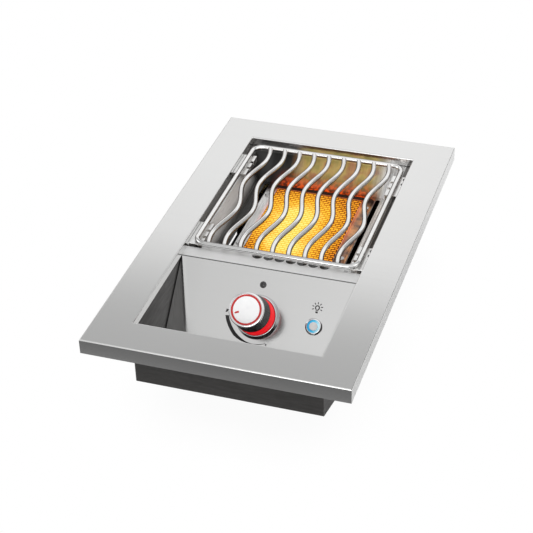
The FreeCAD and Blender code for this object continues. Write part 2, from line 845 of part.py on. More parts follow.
def make_air_shutter():
    """The air shutter: a plate with two windows on the mixing tube's mouth, round the orifice."""
    disc = hexagon(2 * shutter_radius, shutter_sheet, 8)
    cuts = [cylinder(orifice_tip_radius + fit_gap, 3 * shutter_sheet, Vector(0, 0, -shutter_sheet),
                     Vector(0, 0, 1))]
    for side in (-1, 1):
        middle = side * (venturi_radius + orifice_tip_radius) / 2
        half = shutter_window / 2
        cuts.append(box(middle - half / 2, middle + half / 2, -half, half, -1, shutter_sheet + 1))
    return along_y(disc.cut(Part.makeCompound(cuts)), knob_x, shutter_y, venturi_height)


def make_orifice():
    """The brass orifice: a hexagon with a drilled tip."""
    tip = cylinder(orifice_tip_radius, orifice_tip_length, Vector(0, 0, orifice_hex_length),
                   Vector(0, 0, 1))
    body = hexagon(orifice_hex, orifice_hex_length).fuse(tip)
    bore = cylinder(orifice_bore, orifice_hex_length + orifice_tip_length + 2, Vector(0, 0, -1),
                    Vector(0, 0, 1))
    return along_y(body.cut(bore), knob_x, barrel_end, venturi_height)


def make_valve_body():
    """The gas valve: mounting plate, bonnet, block, outlet barrel and inlet boss."""
    half = valve_block / 2
    neck_half = valve_bonnet / 2
    plate_part = box(-valve_plate_width / 2, valve_plate_width / 2, -valve_plate_height / 2,
                     valve_plate_height / 2, bonnet_top, panel_back)
    bonnet = box(-neck_half, neck_half, -neck_half, neck_half, block_top, bonnet_top)
    block = box(-half, half, -half, half, -valve_depth - half, block_top)
    body = on_panel(plate_part.fuse(bonnet).fuse(block), knob_x, knob_down)
    foot = Vector(knob_x, valve_y, venturi_height)
    body = body.fuse(laid(hexagon(barrel_hex, barrel_end - valve_y), foot, Vector(0, 1, 0)))
    body = body.fuse(laid(hexagon(boss_hex, boss_end), foot, Vector(-1, 0, 0)))
    seat = cylinder(pipe_radius + fit_gap, boss_end, Vector(knob_x - half, valve_y, venturi_height),
                    Vector(-1, 0, 0))
    bore = cylinder(valve_bore_radius, bonnet_top - chamber_floor, Vector(0, 0, chamber_floor),
                    Vector(0, 0, 1))
    neck = cylinder(stem_radius + 1.0, valve_plate_thickness + 2.0, Vector(0, 0, bonnet_top - 1.0),
                    Vector(0, 0, 1))
    depth = stem_tail + push_travel + 1.0
    shaft = cylinder(stem_radius + stem_clearance, depth, Vector(0, 0, chamber_floor - depth),
                     Vector(0, 0, 1))
    return body.cut(on_panel(bore.fuse(neck).fuse(shaft), knob_x, knob_down)).cut(seat)


def make_push_collar():
    """The hexagon collar that carries the stem and pushes on the valve's spring."""
    top = bonnet_top - fit_gap
    ring = hexagon(collar_hex, collar_thickness)
    ring = ring.cut(cylinder(stem_radius + stem_clearance, collar_thickness + 2, Vector(0, 0, -1),
                             Vector(0, 0, 1)))
    ring.translate(Vector(0, 0, top - collar_thickness))
    return on_panel(ring, knob_x, knob_down)


def make_valve_stem():
    """The stem: a round shaft in the valve with a flat where the knob grips it."""
    low = chamber_floor - stem_tail
    high = knob_base + web_level + web_thickness - 1.0
    shaft = cylinder(stem_radius, high - low, Vector(0, 0, low), Vector(0, 0, 1))
    flat = box(-2 * stem_radius, 2 * stem_radius, stem_flat, 2 * stem_radius, knob_base, high + 1.0)
    return on_panel(shaft.cut(flat), knob_x, knob_down)


def make_knob_core():
    """The knob's hub and its cross web, bored to the stem with its flat."""
    web = knob_base + web_level
    half = web_width / 2
    reach = math.sqrt((knob_inner_radius - fit_gap) ** 2 - half ** 2)
    core = cylinder(hub_radius, web_level - 2.0, Vector(0, 0, knob_base + 2.0), Vector(0, 0, 1))
    core = core.fuse(box(-reach, reach, -half, half, web, web + web_thickness))
    core = core.fuse(box(-half, half, -reach, reach, web, web + web_thickness)).removeSplitter()
    bore = cylinder(stem_radius + fit_gap / 2, web_level + web_thickness - 0.8,
                    Vector(0, 0, knob_base), Vector(0, 0, 1))
    flat = box(-2 * stem_radius, 2 * stem_radius, stem_flat + fit_gap / 2, 2 * stem_radius,
               knob_base - 1, knob_base + web_level + 8.0)
    return on_panel(core.cut(bore.cut(flat)), knob_x, knob_down)


def fluted_wire(radius, z):
    """A many-sided round outline with shallow V grooves between its lands."""
    points = []
    pitch = 360.0 / knob_flutes
    for index in range(knob_flutes):
        for share, reach in ((0.0, radius), (knob_land, radius),
                             ((1 + knob_land) / 2, radius - knob_flute_depth)):
            angle = math.radians((index + share) * pitch)
            points.append(Vector(reach * math.cos(angle), reach * math.sin(angle), z))
    return Part.makePolygon(points + [points[0]])


def make_knob_grip():
    """The fluted, tapered grip sleeve."""
    outer = Part.makeLoft([fluted_wire(knob_base_radius, knob_base),
                           fluted_wire(knob_top_radius, knob_grip_top)], True, True)
    inner = cylinder(knob_inner_radius, knob_grip_length + 2, Vector(0, 0, knob_base - 1),
                     Vector(0, 0, 1))
    return on_panel(outer.cut(inner), knob_x, knob_down)


def make_knob_cap():
    """The bright disc that closes the knob's end."""
    disc = cylinder(knob_top_radius, knob_cap_length - pointer_height, Vector(0, 0, knob_grip_top),
                    Vector(0, 0, 1))
    return on_panel(disc, knob_x, knob_down)


def make_knob_pointer():
    """The raised pointer bar near the edge of the knob's face."""
    low = knob_top - pointer_height
    half = pointer_width / 2
    start = pointer_reach - pointer_length
    bar = box(-half, half, start, pointer_reach, low, low + pointer_height)
    bar.rotate(Vector(0, 0, 0), Vector(0, 0, 1), -pointer_angle)
    return on_panel(bar, knob_x, knob_down)


def tube(inner, outer, low, high):
    """A round tube on the local Z axis."""
    ring = cylinder(outer, high - low, Vector(0, 0, low), Vector(0, 0, 1))
    return ring.cut(cylinder(inner, high - low + 2, Vector(0, 0, low - 1), Vector(0, 0, 1)))


def make_bezel():
    """The bright bezel ring on the panel round the knob."""
    return on_panel(tube(bezel_bore_radius, bezel_radius, 0, bezel_height), knob_x, knob_down)


def make_light_ring():
    """The translucent tube between the bezel and the knob."""
    inner = light_ring_radius - light_ring_wall
    return on_panel(tube(inner, light_ring_radius, 0, light_ring_height), knob_x, knob_down)


def make_indicator():
    """The small round indicator above the knob, with its barrel behind the panel."""
    barrel = hexagon(indicator_barrel * math.sqrt(3), indicator_length)
    barrel.translate(Vector(0, 0, -indicator_length))
    dome = cylinder(indicator_radius, indicator_dome, Vector(0, 0, 0), Vector(0, 0, 1))
    return on_panel(barrel.fuse(dome), indicator_x, indicator_down)


def make_button_body():
    """The light switch: a flanged barrel through the panel, bored for lens and cap."""
    bore = button_lens_radius + fit_gap
    points = [(0, -button_body_length), (button_body_radius, -button_body_length),
              (button_body_radius, 0), (button_bezel_radius, 0),
              (button_bezel_radius, button_bezel_height), (bore, button_bezel_height),
              (bore, -button_well), (0, -button_well)]
    return on_panel(turned(points), button_x, button_down)


def make_button_lens():
    """The lit tube round the button's cap, which guides it."""
    return on_panel(tube(button_cap_radius + fit_gap, button_lens_radius, -button_well, button_lens_top),
                    button_x, button_down)


def make_button_cap():
    """The push cap, sliding in the lens."""
    low = -button_well + button_travel + seat_gap
    cap = cylinder(button_cap_radius, button_cap_top - low, Vector(0, 0, low), Vector(0, 0, 1))
    return on_panel(cap, button_x, button_down)


def make_button_nut():
    """The hexagon nut that clamps the switch behind the panel."""
    nut = hexagon(button_nut, button_nut_thickness)
    nut = nut.cut(cylinder(button_body_radius + fit_gap, button_nut_thickness, Vector(0, 0, 0),
                           Vector(0, 0, 1)))
    nut.translate(Vector(0, 0, panel_back - button_nut_thickness))
    return on_panel(nut, button_x, button_down)


def make_heat_shield():
    """The upright shield between burner and controls, with a top flange under the shelf."""
    t = shield_sheet
    half = wall_x - fit_gap
    low = casing_floor(shield_y - t) + casing_sheet / math.cos(floor_angle) + seat_gap
    shield = box(-half, half, shield_y - t, shield_y, low, rim_z)
    shield = shield.fuse(box(-half, half, shield_y, shield_y + shield_flange, rim_z - t, rim_z))
    cuts = []
    for x, size in ((knob_x, shield_hole), (pipe_x, 2 * pipe_radius + 2.0)):
        cuts.append(box(x - size / 2, x + size / 2, shield_y - 2 * t, shield_y + t,
                        venturi_height - size / 2, venturi_height + size / 2))
    return shield.removeSplitter().cut(Part.makeCompound(cuts))


def make_manifold_pipe():
    """The gas pipe from the inlet at the back wall to the valve, with one bend."""
    start = Vector(pipe_x, wall_rear - inlet_nut_thickness - 3.0, venturi_height)
    corner = Vector(pipe_x, valve_y, venturi_height)
    end = Vector(knob_x - valve_block / 2 - seat_gap, valve_y, venturi_height)
    points = [start] + bend_points(start, corner, end, pipe_bend, 3) + [end]
    section = Part.Wire(Part.makeCircle(pipe_radius, start, Vector(0, 1, 0)))
    return Part.makePolygon(points).makePipeShell([section], True, False, 1)


def make_inlet_fitting():
    """The gas inlet: a bulkhead fitting through the back wall, clamped by a nut outside."""
    inside = wall_rear - inlet_nut_thickness - 8.0
    length = casing_rear - inside + inlet_outside
    body = cylinder(inlet_radius, length - 8.0, Vector(0, 0, 8.0), Vector(0, 0, 1))
    body = body.fuse(hexagon(inlet_nut, inlet_nut_thickness + 8.0))
    nut = hexagon(inlet_nut, inlet_nut_thickness)
    nut.translate(Vector(0, 0, casing_rear - inside))
    bore = cylinder(pipe_radius + fit_gap, length, Vector(0, 0, 0), Vector(0, 0, 1))
    return along_y(body.fuse(nut).cut(bore), pipe_x, inside, venturi_height)


def make_grommet():
    """The cable bushing in the back wall, with a hexagon head outside."""
    depth = grommet_rim + casing_sheet
    body = cylinder(grommet_groove_radius, depth, Vector(0, 0, 0), Vector(0, 0, 1))
    head = hexagon(grommet_hex, grommet_rim)
    head.translate(Vector(0, 0, depth))
    bore = cylinder(grommet_bore_radius, depth + grommet_rim + 2, Vector(0, 0, -1), Vector(0, 0, 1))
    return along_y(body.fuse(head).cut(bore), grommet_x, wall_rear - grommet_rim, venturi_height)


def make_module(side):
    """A supply module with two ears on the inside of a side wall."""
    outer = wall_x
    half = module_length / 2
    module_z = module_bottom()
    middle = module_z + module_height / 2
    body = box(outer - module_depth, outer, module_y - half, module_y + half, module_z,
               module_z + module_height)
    ears = box(outer - module_ear_thickness, outer, module_y - half - module_ear,
               module_y + half + module_ear, middle - module_ear, middle + module_ear)
    module = body.fuse(ears).removeSplitter()
    if side < 0:
        module = module.mirror(Vector(0, 0, 0), Vector(1, 0, 0))
    return module


def make_electrode_ceramic():
    """The electrode's ceramic rod, held in its clip."""
    top = floor_z + electrode_above_floor
    return cylinder(electrode_radius, electrode_length,
                    Vector(electrode_x, electrode_y, top - electrode_length), Vector(0, 0, 1))


def make_electrode_wire():
    """The electrode's wire, bent toward the tiles above the ceramic."""
    top = floor_z + electrode_above_floor
    low = Vector(electrode_x, electrode_y, top)
    corner = Vector(electrode_x, electrode_y, top + electrode_rise)
    end = corner + Vector(0, electrode_reach, 0)
    section = Part.Wire(Part.makeCircle(electrode_wire_radius, low, Vector(0, 0, 1)))
    return Part.makePolygon([low, corner, end]).makePipeShell([section], True, False, 1)


def make_electrode_clip():
    """The flat clip that holds the electrode to the liner floor."""
    half = electrode_clip_width / 2
    x1 = electrode_x + half
    clip = box(x1 - electrode_clip_length, x1, electrode_y - half, electrode_y + half, floor_z,
               floor_z + electrode_clip_sheet)
    hole = hexagon(2 * (electrode_radius + fit_gap), 4.0)
    hole.translate(Vector(electrode_x, electrode_y, floor_z - 1))
    return clip.cut(hole)


def screws_at(places):
    """A group of equal screws, each a separate solid."""
    return Part.makeCompound([screw(base, direction) for base, direction in places])


def make_valve_screws():
    """The two screws that hold the valve's plate behind the panel, heads under the bezel."""
    group = []
    for side in (-1, 1):
        body = screw(Vector(side * valve_screw_offset(), 0, 0), Vector(0, 0, -1))
        group.append(on_panel(body, knob_x, knob_down))
    return Part.makeCompound(group)


def build():
    """All sub-parts by node name."""
    parts = {
        "trim_frame": make_trim_frame(),
        "casing": make_casing(),
        "casing_side_left": make_casing_side(-1),
        "casing_side_right": make_casing_side(1),
        "control_panel": make_control_panel(),
        "firebox_liner": make_firebox_liner(),
        "heat_shield": make_heat_shield(),
        "cooking_grid": make_cooking_grid(),
        "burner_box": make_burner_box(),
        "burner_rim": make_burner_rim(),
        "tile_front": make_tile(0),
        "tile_rear": make_tile(1),
        "tile_gasket": make_tile_gasket(),
        "venturi_tube": make_venturi(),
        "air_shutter": make_air_shutter(),
        "orifice": make_orifice(),
        "valve_body": make_valve_body(),
        "push_collar": make_push_collar(),
        "valve_stem": make_valve_stem(),
        "manifold_pipe": make_manifold_pipe(),
        "gas_inlet": make_inlet_fitting(),
        "knob_core": make_knob_core(),
        "knob_grip": make_knob_grip(),
        "knob_cap": make_knob_cap(),
        "knob_pointer": make_knob_pointer(),
        "knob_bezel": make_bezel(),
        "light_ring": make_light_ring(),
        "indicator": make_indicator(),
        "button_lens": make_button_lens(),
        "button_cap": make_button_cap(),
        "button_body": make_button_body(),
        "button_nut": make_button_nut(),
        "ignition_module": make_module(1),
        "lamp_module": make_module(-1),
        "electrode_ceramic": make_electrode_ceramic(),
        "electrode_wire": make_electrode_wire(),
        "electrode_clip": make_electrode_clip(),
        "cable_grommet": make_grommet(),
        "liner_screws": screws_at(liner_screw_places()),
        "burner_screws": screws_at(burner_screw_places() + clip_screw_places()),
        "module_screws": screws_at(module_screw_places()),
        "valve_screws": make_valve_screws(),
    }
    for side, side_name in ((-1, "left"), (1, "right")):
        for y, end_name in ((rest_front_y, "front"), (rest_rear_y, "rear")):
            parts["grid_rest_" + side_name + "_" + end_name] = make_grid_rest(side, y)
    return parts


def main():
    """Writes one STEP file for each sub-part."""
    os.makedirs("parts", exist_ok=True)
    for name, shape in build().items():
        shape.exportStep("parts/" + name + ".step")


main()
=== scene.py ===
import math

import bmesh
import bpy
from bpy.props import FloatProperty, FloatVectorProperty, IntProperty
from mathutils import Matrix, Quaternion, Vector


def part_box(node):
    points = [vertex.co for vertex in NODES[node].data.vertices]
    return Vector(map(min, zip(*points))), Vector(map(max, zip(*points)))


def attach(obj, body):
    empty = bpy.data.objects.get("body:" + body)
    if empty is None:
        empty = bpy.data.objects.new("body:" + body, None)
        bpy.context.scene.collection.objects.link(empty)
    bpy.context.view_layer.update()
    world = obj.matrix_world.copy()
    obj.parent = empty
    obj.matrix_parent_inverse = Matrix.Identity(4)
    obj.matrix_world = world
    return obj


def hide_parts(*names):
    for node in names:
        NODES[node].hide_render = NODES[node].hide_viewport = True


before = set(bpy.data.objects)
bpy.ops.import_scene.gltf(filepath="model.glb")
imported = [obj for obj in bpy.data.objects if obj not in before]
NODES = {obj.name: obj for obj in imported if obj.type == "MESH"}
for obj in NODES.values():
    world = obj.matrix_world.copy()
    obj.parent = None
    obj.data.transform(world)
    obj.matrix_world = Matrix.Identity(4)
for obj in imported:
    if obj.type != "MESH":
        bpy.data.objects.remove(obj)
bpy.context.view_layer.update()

bl_info = {
    "name": "Built in side burner",
    "version": (1, 0, 0),
    "blender": (4, 5, 0),
    "location": "View3D > Sidebar > Side burner",
    "description": "Dresses the side burner's frame with its finishes and fine pieces",
    "category": "Object",
}

MM = 0.001
BLACK = (0.0, 0.0, 0.0)
WHITE = (1.0, 1.0, 1.0)

# The sloping panel, and places on it in millimetres across and down from its upper fold
PANEL_TOP = Vector((0.0, -0.0627, 0.138))
PANEL_TURN = Matrix.Rotation(math.radians(45.0), 4, "X")
KNOB_PLACE = (-2.2, 64.9)
BUTTON_PLACE = (73.8, 64.8)
INDICATOR_PLACE = (-3.4, 22.0)
SYMBOL_PLACE = (73.7, 40.4)

# The shelf above the panel, with its cut corners and air notches, in millimetres
SHELF_FRONT = -61.0
SHELF_SHEET = 1.2
CORNER_WIDTH = 21.0
CORNER_DEPTH = 5.5
NOTCH_COUNT = 7
NOTCH_FIRST = -23.8
NOTCH_PITCH = 15.4
NOTCH_RADIUS = 7.0
NOTCH_INSET = 1.7
NOTCH_STEPS = 24

# Printed marks on the panel, in millimetres, with clock angles in degrees
INK = 0.04
HEAT_SCALE = [
    (264, 43.4), (258, 42.5), (253, 41.9), (244, 40.8), (233, 39.9), (224, 39.6), (215, 38.7),
    (206, 37.8), (196, 36.9), (186, 36.3), (177, 36.3), (170, 36.4), (164, 36.5), (158, 36.6),
    (152, 36.8), (152, 36.2), (158, 36.0), (164, 35.8), (170, 35.6), (177, 35.4), (186, 35.2),
    (196, 35.0), (206, 34.6), (215, 34.5), (224, 34.8), (233, 35.2), (244, 36.0), (253, 37.0),
    (258, 37.7), (264, 38.5)]
HEAT_TICK = [(274.7, 40.2), (275.5, 43.2), (269.0, 43.9), (270.5, 41.2)]
HEAT_DOT_PLACE = (152, 38.4)
HEAT_DOT_RADIUS = 1.1
LAMP_FOOT = [(-1.5, -6.6), (1.5, -6.6), (1.7, -4.3), (-1.7, -4.3)]
LAMP_NECK = [(-0.3, -3.4), (0.3, -3.4), (0.3, -1.0), (-0.3, -1.0)]
BULB_RADIUS = 3.3
BULB_HEIGHT = 0.6
BULB_HALF_TURN = 140.0
BULB_STEPS = 24
BULB_FOOT = [(1.5, -3.6), (-1.5, -3.6)]
HOLLOW_SHARE = 0.54
HOLLOW_FOOT = [(0.7, -2.9), (-0.7, -2.9)]

# Small studs on the right inner edge of the frame, in millimetres
STUD_X = 120.7
STUD_Z = 147.4
STUD_ROWS = (-13.0, -2.0, 169.0, 182.0)

# Flutes round the knob's grip, in millimetres
GRIP_FOOT = 31.6
GRIP_HEAD = 55.4
GRIP_RIBS = 48
RIB_DEPTH = 0.45
RIB_FADE = 1.2

# Outlines of the turned pieces: radius, and height above the panel or edge, in millimetres
PROFILES = {
    "knob_bezel_skirt": [(25.3, 0.0), (29.3, 0.0), (29.4, 0.5), (29.1, 1.3), (28.6, 3.0), (27.9, 6.0),
                         (27.3, 8.2), (25.3, 8.2)],
    "knob_bezel_lip": [(25.3, 8.1), (27.3, 8.1), (27.3, 8.3), (27.0, 8.8), (26.4, 9.0), (25.7, 8.9),
                       (25.3, 8.5)],
    "knob_light_ring": [(21.7, 0.0), (24.9, 0.0), (24.9, 26.6), (24.7, 27.2), (24.2, 27.5),
                        (20.6, 27.5), (20.1, 27.2), (20.1, 25.5), (21.7, 25.5)],
    "knob_grip_sleeve": [(20.0, 31.0), (24.3, 31.0), (24.65, 31.4)]
                        + [(24.62 - 1.55 * (step / 8), 32.4 + 22.8 * (step / 8)) for step in range(9)]
                        + [(22.95, 55.9), (22.7, 56.0), (20.0, 56.0)],
    "knob_cap_disc": [(0.0, 54.0), (19.7, 54.0), (19.7, 56.0), (22.8, 56.0), (23.0, 56.2),
                      (23.0, 58.4), (22.85, 58.85), (22.5, 59.25), (22.0, 59.55), (20.4, 59.6),
                      (20.1, 59.55), (20.0, 59.4), (20.0, 59.0), (0.0, 59.0)],
    "knob_accent_ring": [(17.4, 59.0), (19.9, 59.0), (19.9, 59.3), (19.6, 59.45), (17.7, 59.45),
                         (17.4, 59.3)],
    "knob_face_disc": [(0.0, 59.0), (17.3, 59.0), (17.3, 59.3), (17.0, 59.45), (12.0, 59.5),
                       (6.0, 59.55), (0.0, 59.55)],
    "button_barrel": [(0.0, -26.0), (9.2, -26.0), (9.6, -25.6), (9.6, 0.0), (11.3, 0.0), (11.4, 0.3),
                      (11.3, 1.0), (10.7, 2.0), (9.9, 2.9), (9.3, 3.2), (8.7, 3.2), (8.5, 3.0),
                      (8.5, -8.0), (0.0, -8.0)],
    "button_light_ring": [(5.7, -7.9), (8.4, -7.9), (8.4, 2.0), (8.1, 2.35), (6.2, 2.4), (5.7, 2.0)],
    "button_cap_disc": [(0.0, -6.1), (5.6, -6.1), (5.6, 3.0), (5.4, 3.45), (5.0, 3.6), (4.4, 3.45),
                        (0.0, 3.1)],
    "indicator_collar": [(0.0, -9.0), (3.4, -9.0), (3.4, 0.0), (4.4, 0.0), (4.5, 0.2), (4.3, 0.5),
                         (3.4, 0.8), (2.6, 0.8), (2.4, 0.3), (0.0, 0.3)],
    "indicator_dome": [(0.0, 0.2), (2.35, 0.2), (2.2, 0.5), (1.5, 0.8), (0.0, 0.9)],
    "stud": [(0.0, -1.2), (1.3, -1.2), (1.5, -0.8), (1.5, 0.6), (1.2, 1.3), (0.7, 1.6), (0.0, 1.7)],
}

# The knob's pointer, in millimetres, and its turn about the knob's axis in degrees
POINTER_OUTLINE = [(-1.2, 9.6), (1.2, 9.6), (1.2, 14.4), (0.0, 15.8), (-1.2, 14.4)]
POINTER_HEIGHTS = (59.4, 59.75)
POINTER_ROUNDING = 0.12
POINTER_TURN = -246.0

# Zones of the finishes: centre, half size, and the reach over which each fades, in metres
ZONES = {
    "tile heat": ((-0.012, 0.072, 0.1095), (0.008, 0.040, 0.02), 0.064),
    "tile cool corner": ((-0.062, 0.014, 0.1095), (0.004, 0.008, 0.02), 0.026),
    "liner left wall painted light": ((-0.112, 0.090, 0.120), (0.026, 0.13, 0.03), 0.006),
    "liner floor painted shade": ((-0.020, 0.085, 0.1045), (0.098, 0.14, 0.0008), 0.006),
    "liner left foot painted shade": ((-0.100, 0.100, 0.1060), (0.020, 0.115, 0.0060), 0.012),
    "liner rear left dark": ((-0.097, 0.206, 0.120), (0.048, 0.020, 0.016), 0.020),
    "liner painted shade below notches": ((0.0224, -0.0440, 0.1365), (0.062, 0.0065, 0.002), 0.001),
    "liner front left corner painted shade": ((-0.1115, -0.0395, 0.1365), (0.0105, 0.004, 0.001), 0.001),
    "liner right rim painted shade": ((0.1215, 0.095, 0.1365), (0.0085, 0.140, 0.001), 0.002),
    "liner left rim painted shade": ((-0.1215, 0.095, 0.1365), (0.0085, 0.140, 0.001), 0.002),
    "liner straw tint": ((0.016, 0.215, 0.125), (0.050, 0.022, 0.013), 0.022),
    "liner right tint": ((0.088, 0.090, 0.110), (0.004, 0.075, 0.004), 0.016),
    "liner behind tiles": ((0.004, 0.186, 0.105), (0.058, 0.004, 0.001), 0.028),
    "liner rear wall": ((0.0, 0.215, 0.12), (0.13, 0.020, 0.03), 0.004),
    "flange right": ((0.075, 0.095, 0.107), (0.010, 0.10, 0.004), 0.012),
    "flange rear": ((0.0, 0.182, 0.107), (0.09, 0.008, 0.004), 0.020),
    "flange edge": ((0.0, 0.0905, 0.108), (0.0640, 0.0820, 0.004), 0.005),
    "flange far half": ((0.000, 0.130, 0.108), (0.08, 0.060, 0.01), 0.030),
    "front rod": ((0.0, -0.0470, 0.146), (0.12, 0.0060, 0.004), 0.004),
    "panel fold painted shade": ((0.0, -0.0630, 0.138), (0.125, 0.0002, 0.0006), 0.0008),
    "panel left seam": ((-0.1222, -0.12, 0.09), (0.0009, 0.057, 0.06), 0.0005),
    "panel right seam": ((0.1222, -0.12, 0.09), (0.0009, 0.057, 0.06), 0.0005),
    "panel corner slot": ((0.0977, -0.0415, 0.138), (0.0024, 0.0022, 0.001), 0.0006),
    "panel shelf painted light": ((0.0, -0.0496, 0.1378), (0.125, 0.0126, 0.0003), 0.0006),
    "panel left strip": ((-0.110, -0.115, 0.09), (0.012, 0.052, 0.06), 0.012),
}

# Depths of the surface reliefs, in metres
FINE_RELIEF = 0.00005
SHEET_RELIEF = 0.0001
CELL_RELIEF = 0.0006

# Colours laid over a sheet one after the other: zone, share and colour
LINER_LAYERS = (
    # Painted light: the left wall whitened to stand in for the light falling on it
    ("liner left wall painted light", 0.75, (0.98, 0.98, 0.98)),
    # Painted shade: the firebox floor darkened
    ("liner floor painted shade", 0.85, (0.09, 0.088, 0.085)),
    # Painted shade: the foot of the left wall darkened
    ("liner left foot painted shade", 0.85, (0.035, 0.034, 0.033)),
    # Nearly black at the rear left corner
    ("liner rear left dark", 0.97, (0.016, 0.016, 0.015)),
    # Painted shade: the rim seen through the shelf's notches darkened
    ("liner painted shade below notches", 1.0, (0.07, 0.07, 0.07)),
    # Painted shade: the front left corner near black
    ("liner front left corner painted shade", 1.0, (0.012, 0.012, 0.012)),
    # Painted shade: the rims under the frame's edges darkened
    ("liner right rim painted shade", 0.9, (0.10, 0.093, 0.088)),
    ("liner left rim painted shade", 0.9, (0.13, 0.1209, 0.1144)),
)
PANEL_LAYERS = (
    # Painted shade along the fold
    ("panel fold painted shade", 0.9, (0.12, 0.12, 0.12)),
    ("panel left seam", 0.95, (0.02, 0.02, 0.02)),
    ("panel right seam", 0.95, (0.02, 0.02, 0.02)),
    ("panel corner slot", 1.0, (0.01, 0.01, 0.01)),
    # Painted light: the shelf made pale and matt
    ("panel shelf painted light", 0.6, WHITE),
    # Painted shade along the fold again, over the shelf
    ("panel fold painted shade", 0.9, (0.12, 0.12, 0.12)),
)

# Camera, lamps (name, size, place, aim, share of the power) and surround (height, brightness)
CAMERA_PLACE = (0.51213, -1.56465, 1.25785)
CAMERA_TURN = (0.877618, 0.453256, 0.083093, 0.132061)
CAMERA_LENS = 100.702
CAMERA_REACH = 20.0
SENSOR_WIDTH = 36.0
LAMPS = (
    ("left softbox", (1.6, 1.6), (-2.5, -0.3, 1.3), (0, 0, 0.1), 1.1),
    ("right softbox", (1.4, 1.4), (1.9, 0.2, 1.8), (0, 0, 0.1), 0.4),
    ("front softbox", (1.8, 1.2), (0.2, -2.6, 1.3), (0, 0, 0.1), 1.8),
    ("back card", (2.4, 0.74), (-0.3, 1.05, 0.68), (-0.3, 0, 0.68), 0.32),
)
SKY_BEHIND = ((0.0, 0.03), (0.14, 0.04), (0.26, 0.44), (0.60, 0.49), (0.82, 0.46), (0.95, 1.0))
SKY_BEFORE = ((0.0, 1.0), (0.50, 0.90), (0.64, 0.72), (0.84, 0.72), (0.95, 1.0))
FLOOR_HALF = 6.0
FLOOR_DROP = 0.0005
FLOOR_SHADE_FADE = (-0.45, -0.25)
SHADOW_REACH = 0.1


# Placing and building meshes

def panel_place(x, down):
    """The matrix from panel axes (across, up the slope, outward) to the frame, in metres."""
    local = Matrix.Translation(Vector((x * MM, -down * MM, 0.0)))
    return Matrix.Translation(PANEL_TOP) @ PANEL_TURN @ local


def show(name, data):
    """A new object in the scene, from a mesh, a lamp or a camera."""
    piece = bpy.data.objects.new(name, data)
    bpy.context.scene.collection.objects.link(piece)
    return piece


def collect(name, verts, faces, material, smooth=True):
    """A new mesh object in the scene, with its faces turned outward."""
    mesh = bpy.data.meshes.new(name)
    mesh.from_pydata([tuple(v) for v in verts], [], faces)
    built = bmesh.new()
    built.from_mesh(mesh)
    bmesh.ops.remove_doubles(built, verts=built.verts, dist=1e-7)
    bmesh.ops.recalc_face_normals(built, faces=built.faces)
    built.to_mesh(mesh)
    built.free()
    mesh.materials.append(material)
    mesh.polygons.foreach_set("use_smooth", [smooth] * len(mesh.polygons))
    return show(name, mesh)


def settle(piece):
    """Turns a piece and its modifiers into a plain mesh."""
    graph = bpy.context.evaluated_depsgraph_get()
    mesh = bpy.data.meshes.new_from_object(piece.evaluated_get(graph))
    piece.modifiers.clear()
    old = piece.data
    piece.data = mesh
    bpy.data.meshes.remove(old)
    return piece


def crease(piece, angle=35.0):
    """Keeps edges steeper than an angle sharp and the rest smooth."""
    piece.data.set_sharp_from_angle(angle=math.radians(angle))
    return piece


def soften(piece, width):
    """Rounds a piece's sharp edges by a width in millimetres."""
    bevel = piece.modifiers.new("soft edges", "BEVEL")
    bevel.width = width * MM
    bevel.segments = 2
    bevel.limit_method = "ANGLE"
    bevel.angle_limit = math.radians(30.0)
    return crease(settle(piece))


def skin(rings, closed):
    """Faces between neighbouring rings of vertex numbers, where a ring of one number is a pole."""
    pairs = list(zip(rings, rings[1:]))
    if closed:
        pairs.append((rings[-1], rings[0]))
    faces = []
    for low, high in pairs:
        count = max(len(low), len(high))
        for index in range(count if count > 1 else 0):
            after = index + 1
            corners = (low[index % len(low)], low[after % len(low)],
                       high[after % len(high)], high[index % len(high)])
            faces.append(tuple(dict.fromkeys(corners)))
    return faces


def turned(name, place, look, segments=96, wave=None):
    """A turned piece from its closed outline about local Z, with a wave added to its radius."""
    verts = []
    rings = []
    for radius, height in PROFILES[name]:
        first = len(verts)
        for index in range(segments if radius > 0 else 1):
            turn = 2 * math.pi * index / segments
            reach = radius + (wave(turn, height) if wave and radius > 0 else 0.0)
            verts.append(place @ Vector((reach * math.cos(turn) * MM, reach * math.sin(turn) * MM,
                                         height * MM)))
        rings.append(range(first, len(verts)))
    hollow = len(rings[0]) > 1 and len(rings[-1]) > 1
    return crease(collect(name, verts, skin(rings, hollow), finish(look)))


def slab(name, outline, place, material, low=0.0, high=INK):
    """A thin flat piece from an outline in millimetres on local XY."""
    count = len(outline)
    verts = [place @ Vector((x * MM, y * MM, z * MM)) for z in (low, high) for x, y in outline]
    caps = [tuple(range(count))[::-1], tuple(range(count, 2 * count))]
    walls = skin([range(count), range(count, 2 * count)], False)
    return collect(name, verts, caps + walls, material, smooth=False)


def hoop(name, outer, inner, place, material):
    """A thin flat ring between two outlines of as many points each."""
    count = len(outer)
    verts = [place @ Vector((x * MM, y * MM, z * MM)) for z in (0.0, INK) for x, y in outer + inner]
    rings = [range(start * count, (start + 1) * count) for start in (0, 2, 3, 1)]
    return collect(name, verts, skin(rings, True), material, smooth=False)


def arc_points(marks, centre=(0.0, 0.0)):
    """Points from (clock angle in degrees, radius) about a centre; 0 points up the slope."""
    return [(centre[0] + radius * math.sin(math.radians(angle)),
             centre[1] + radius * math.cos(math.radians(angle))) for angle, radius in marks]


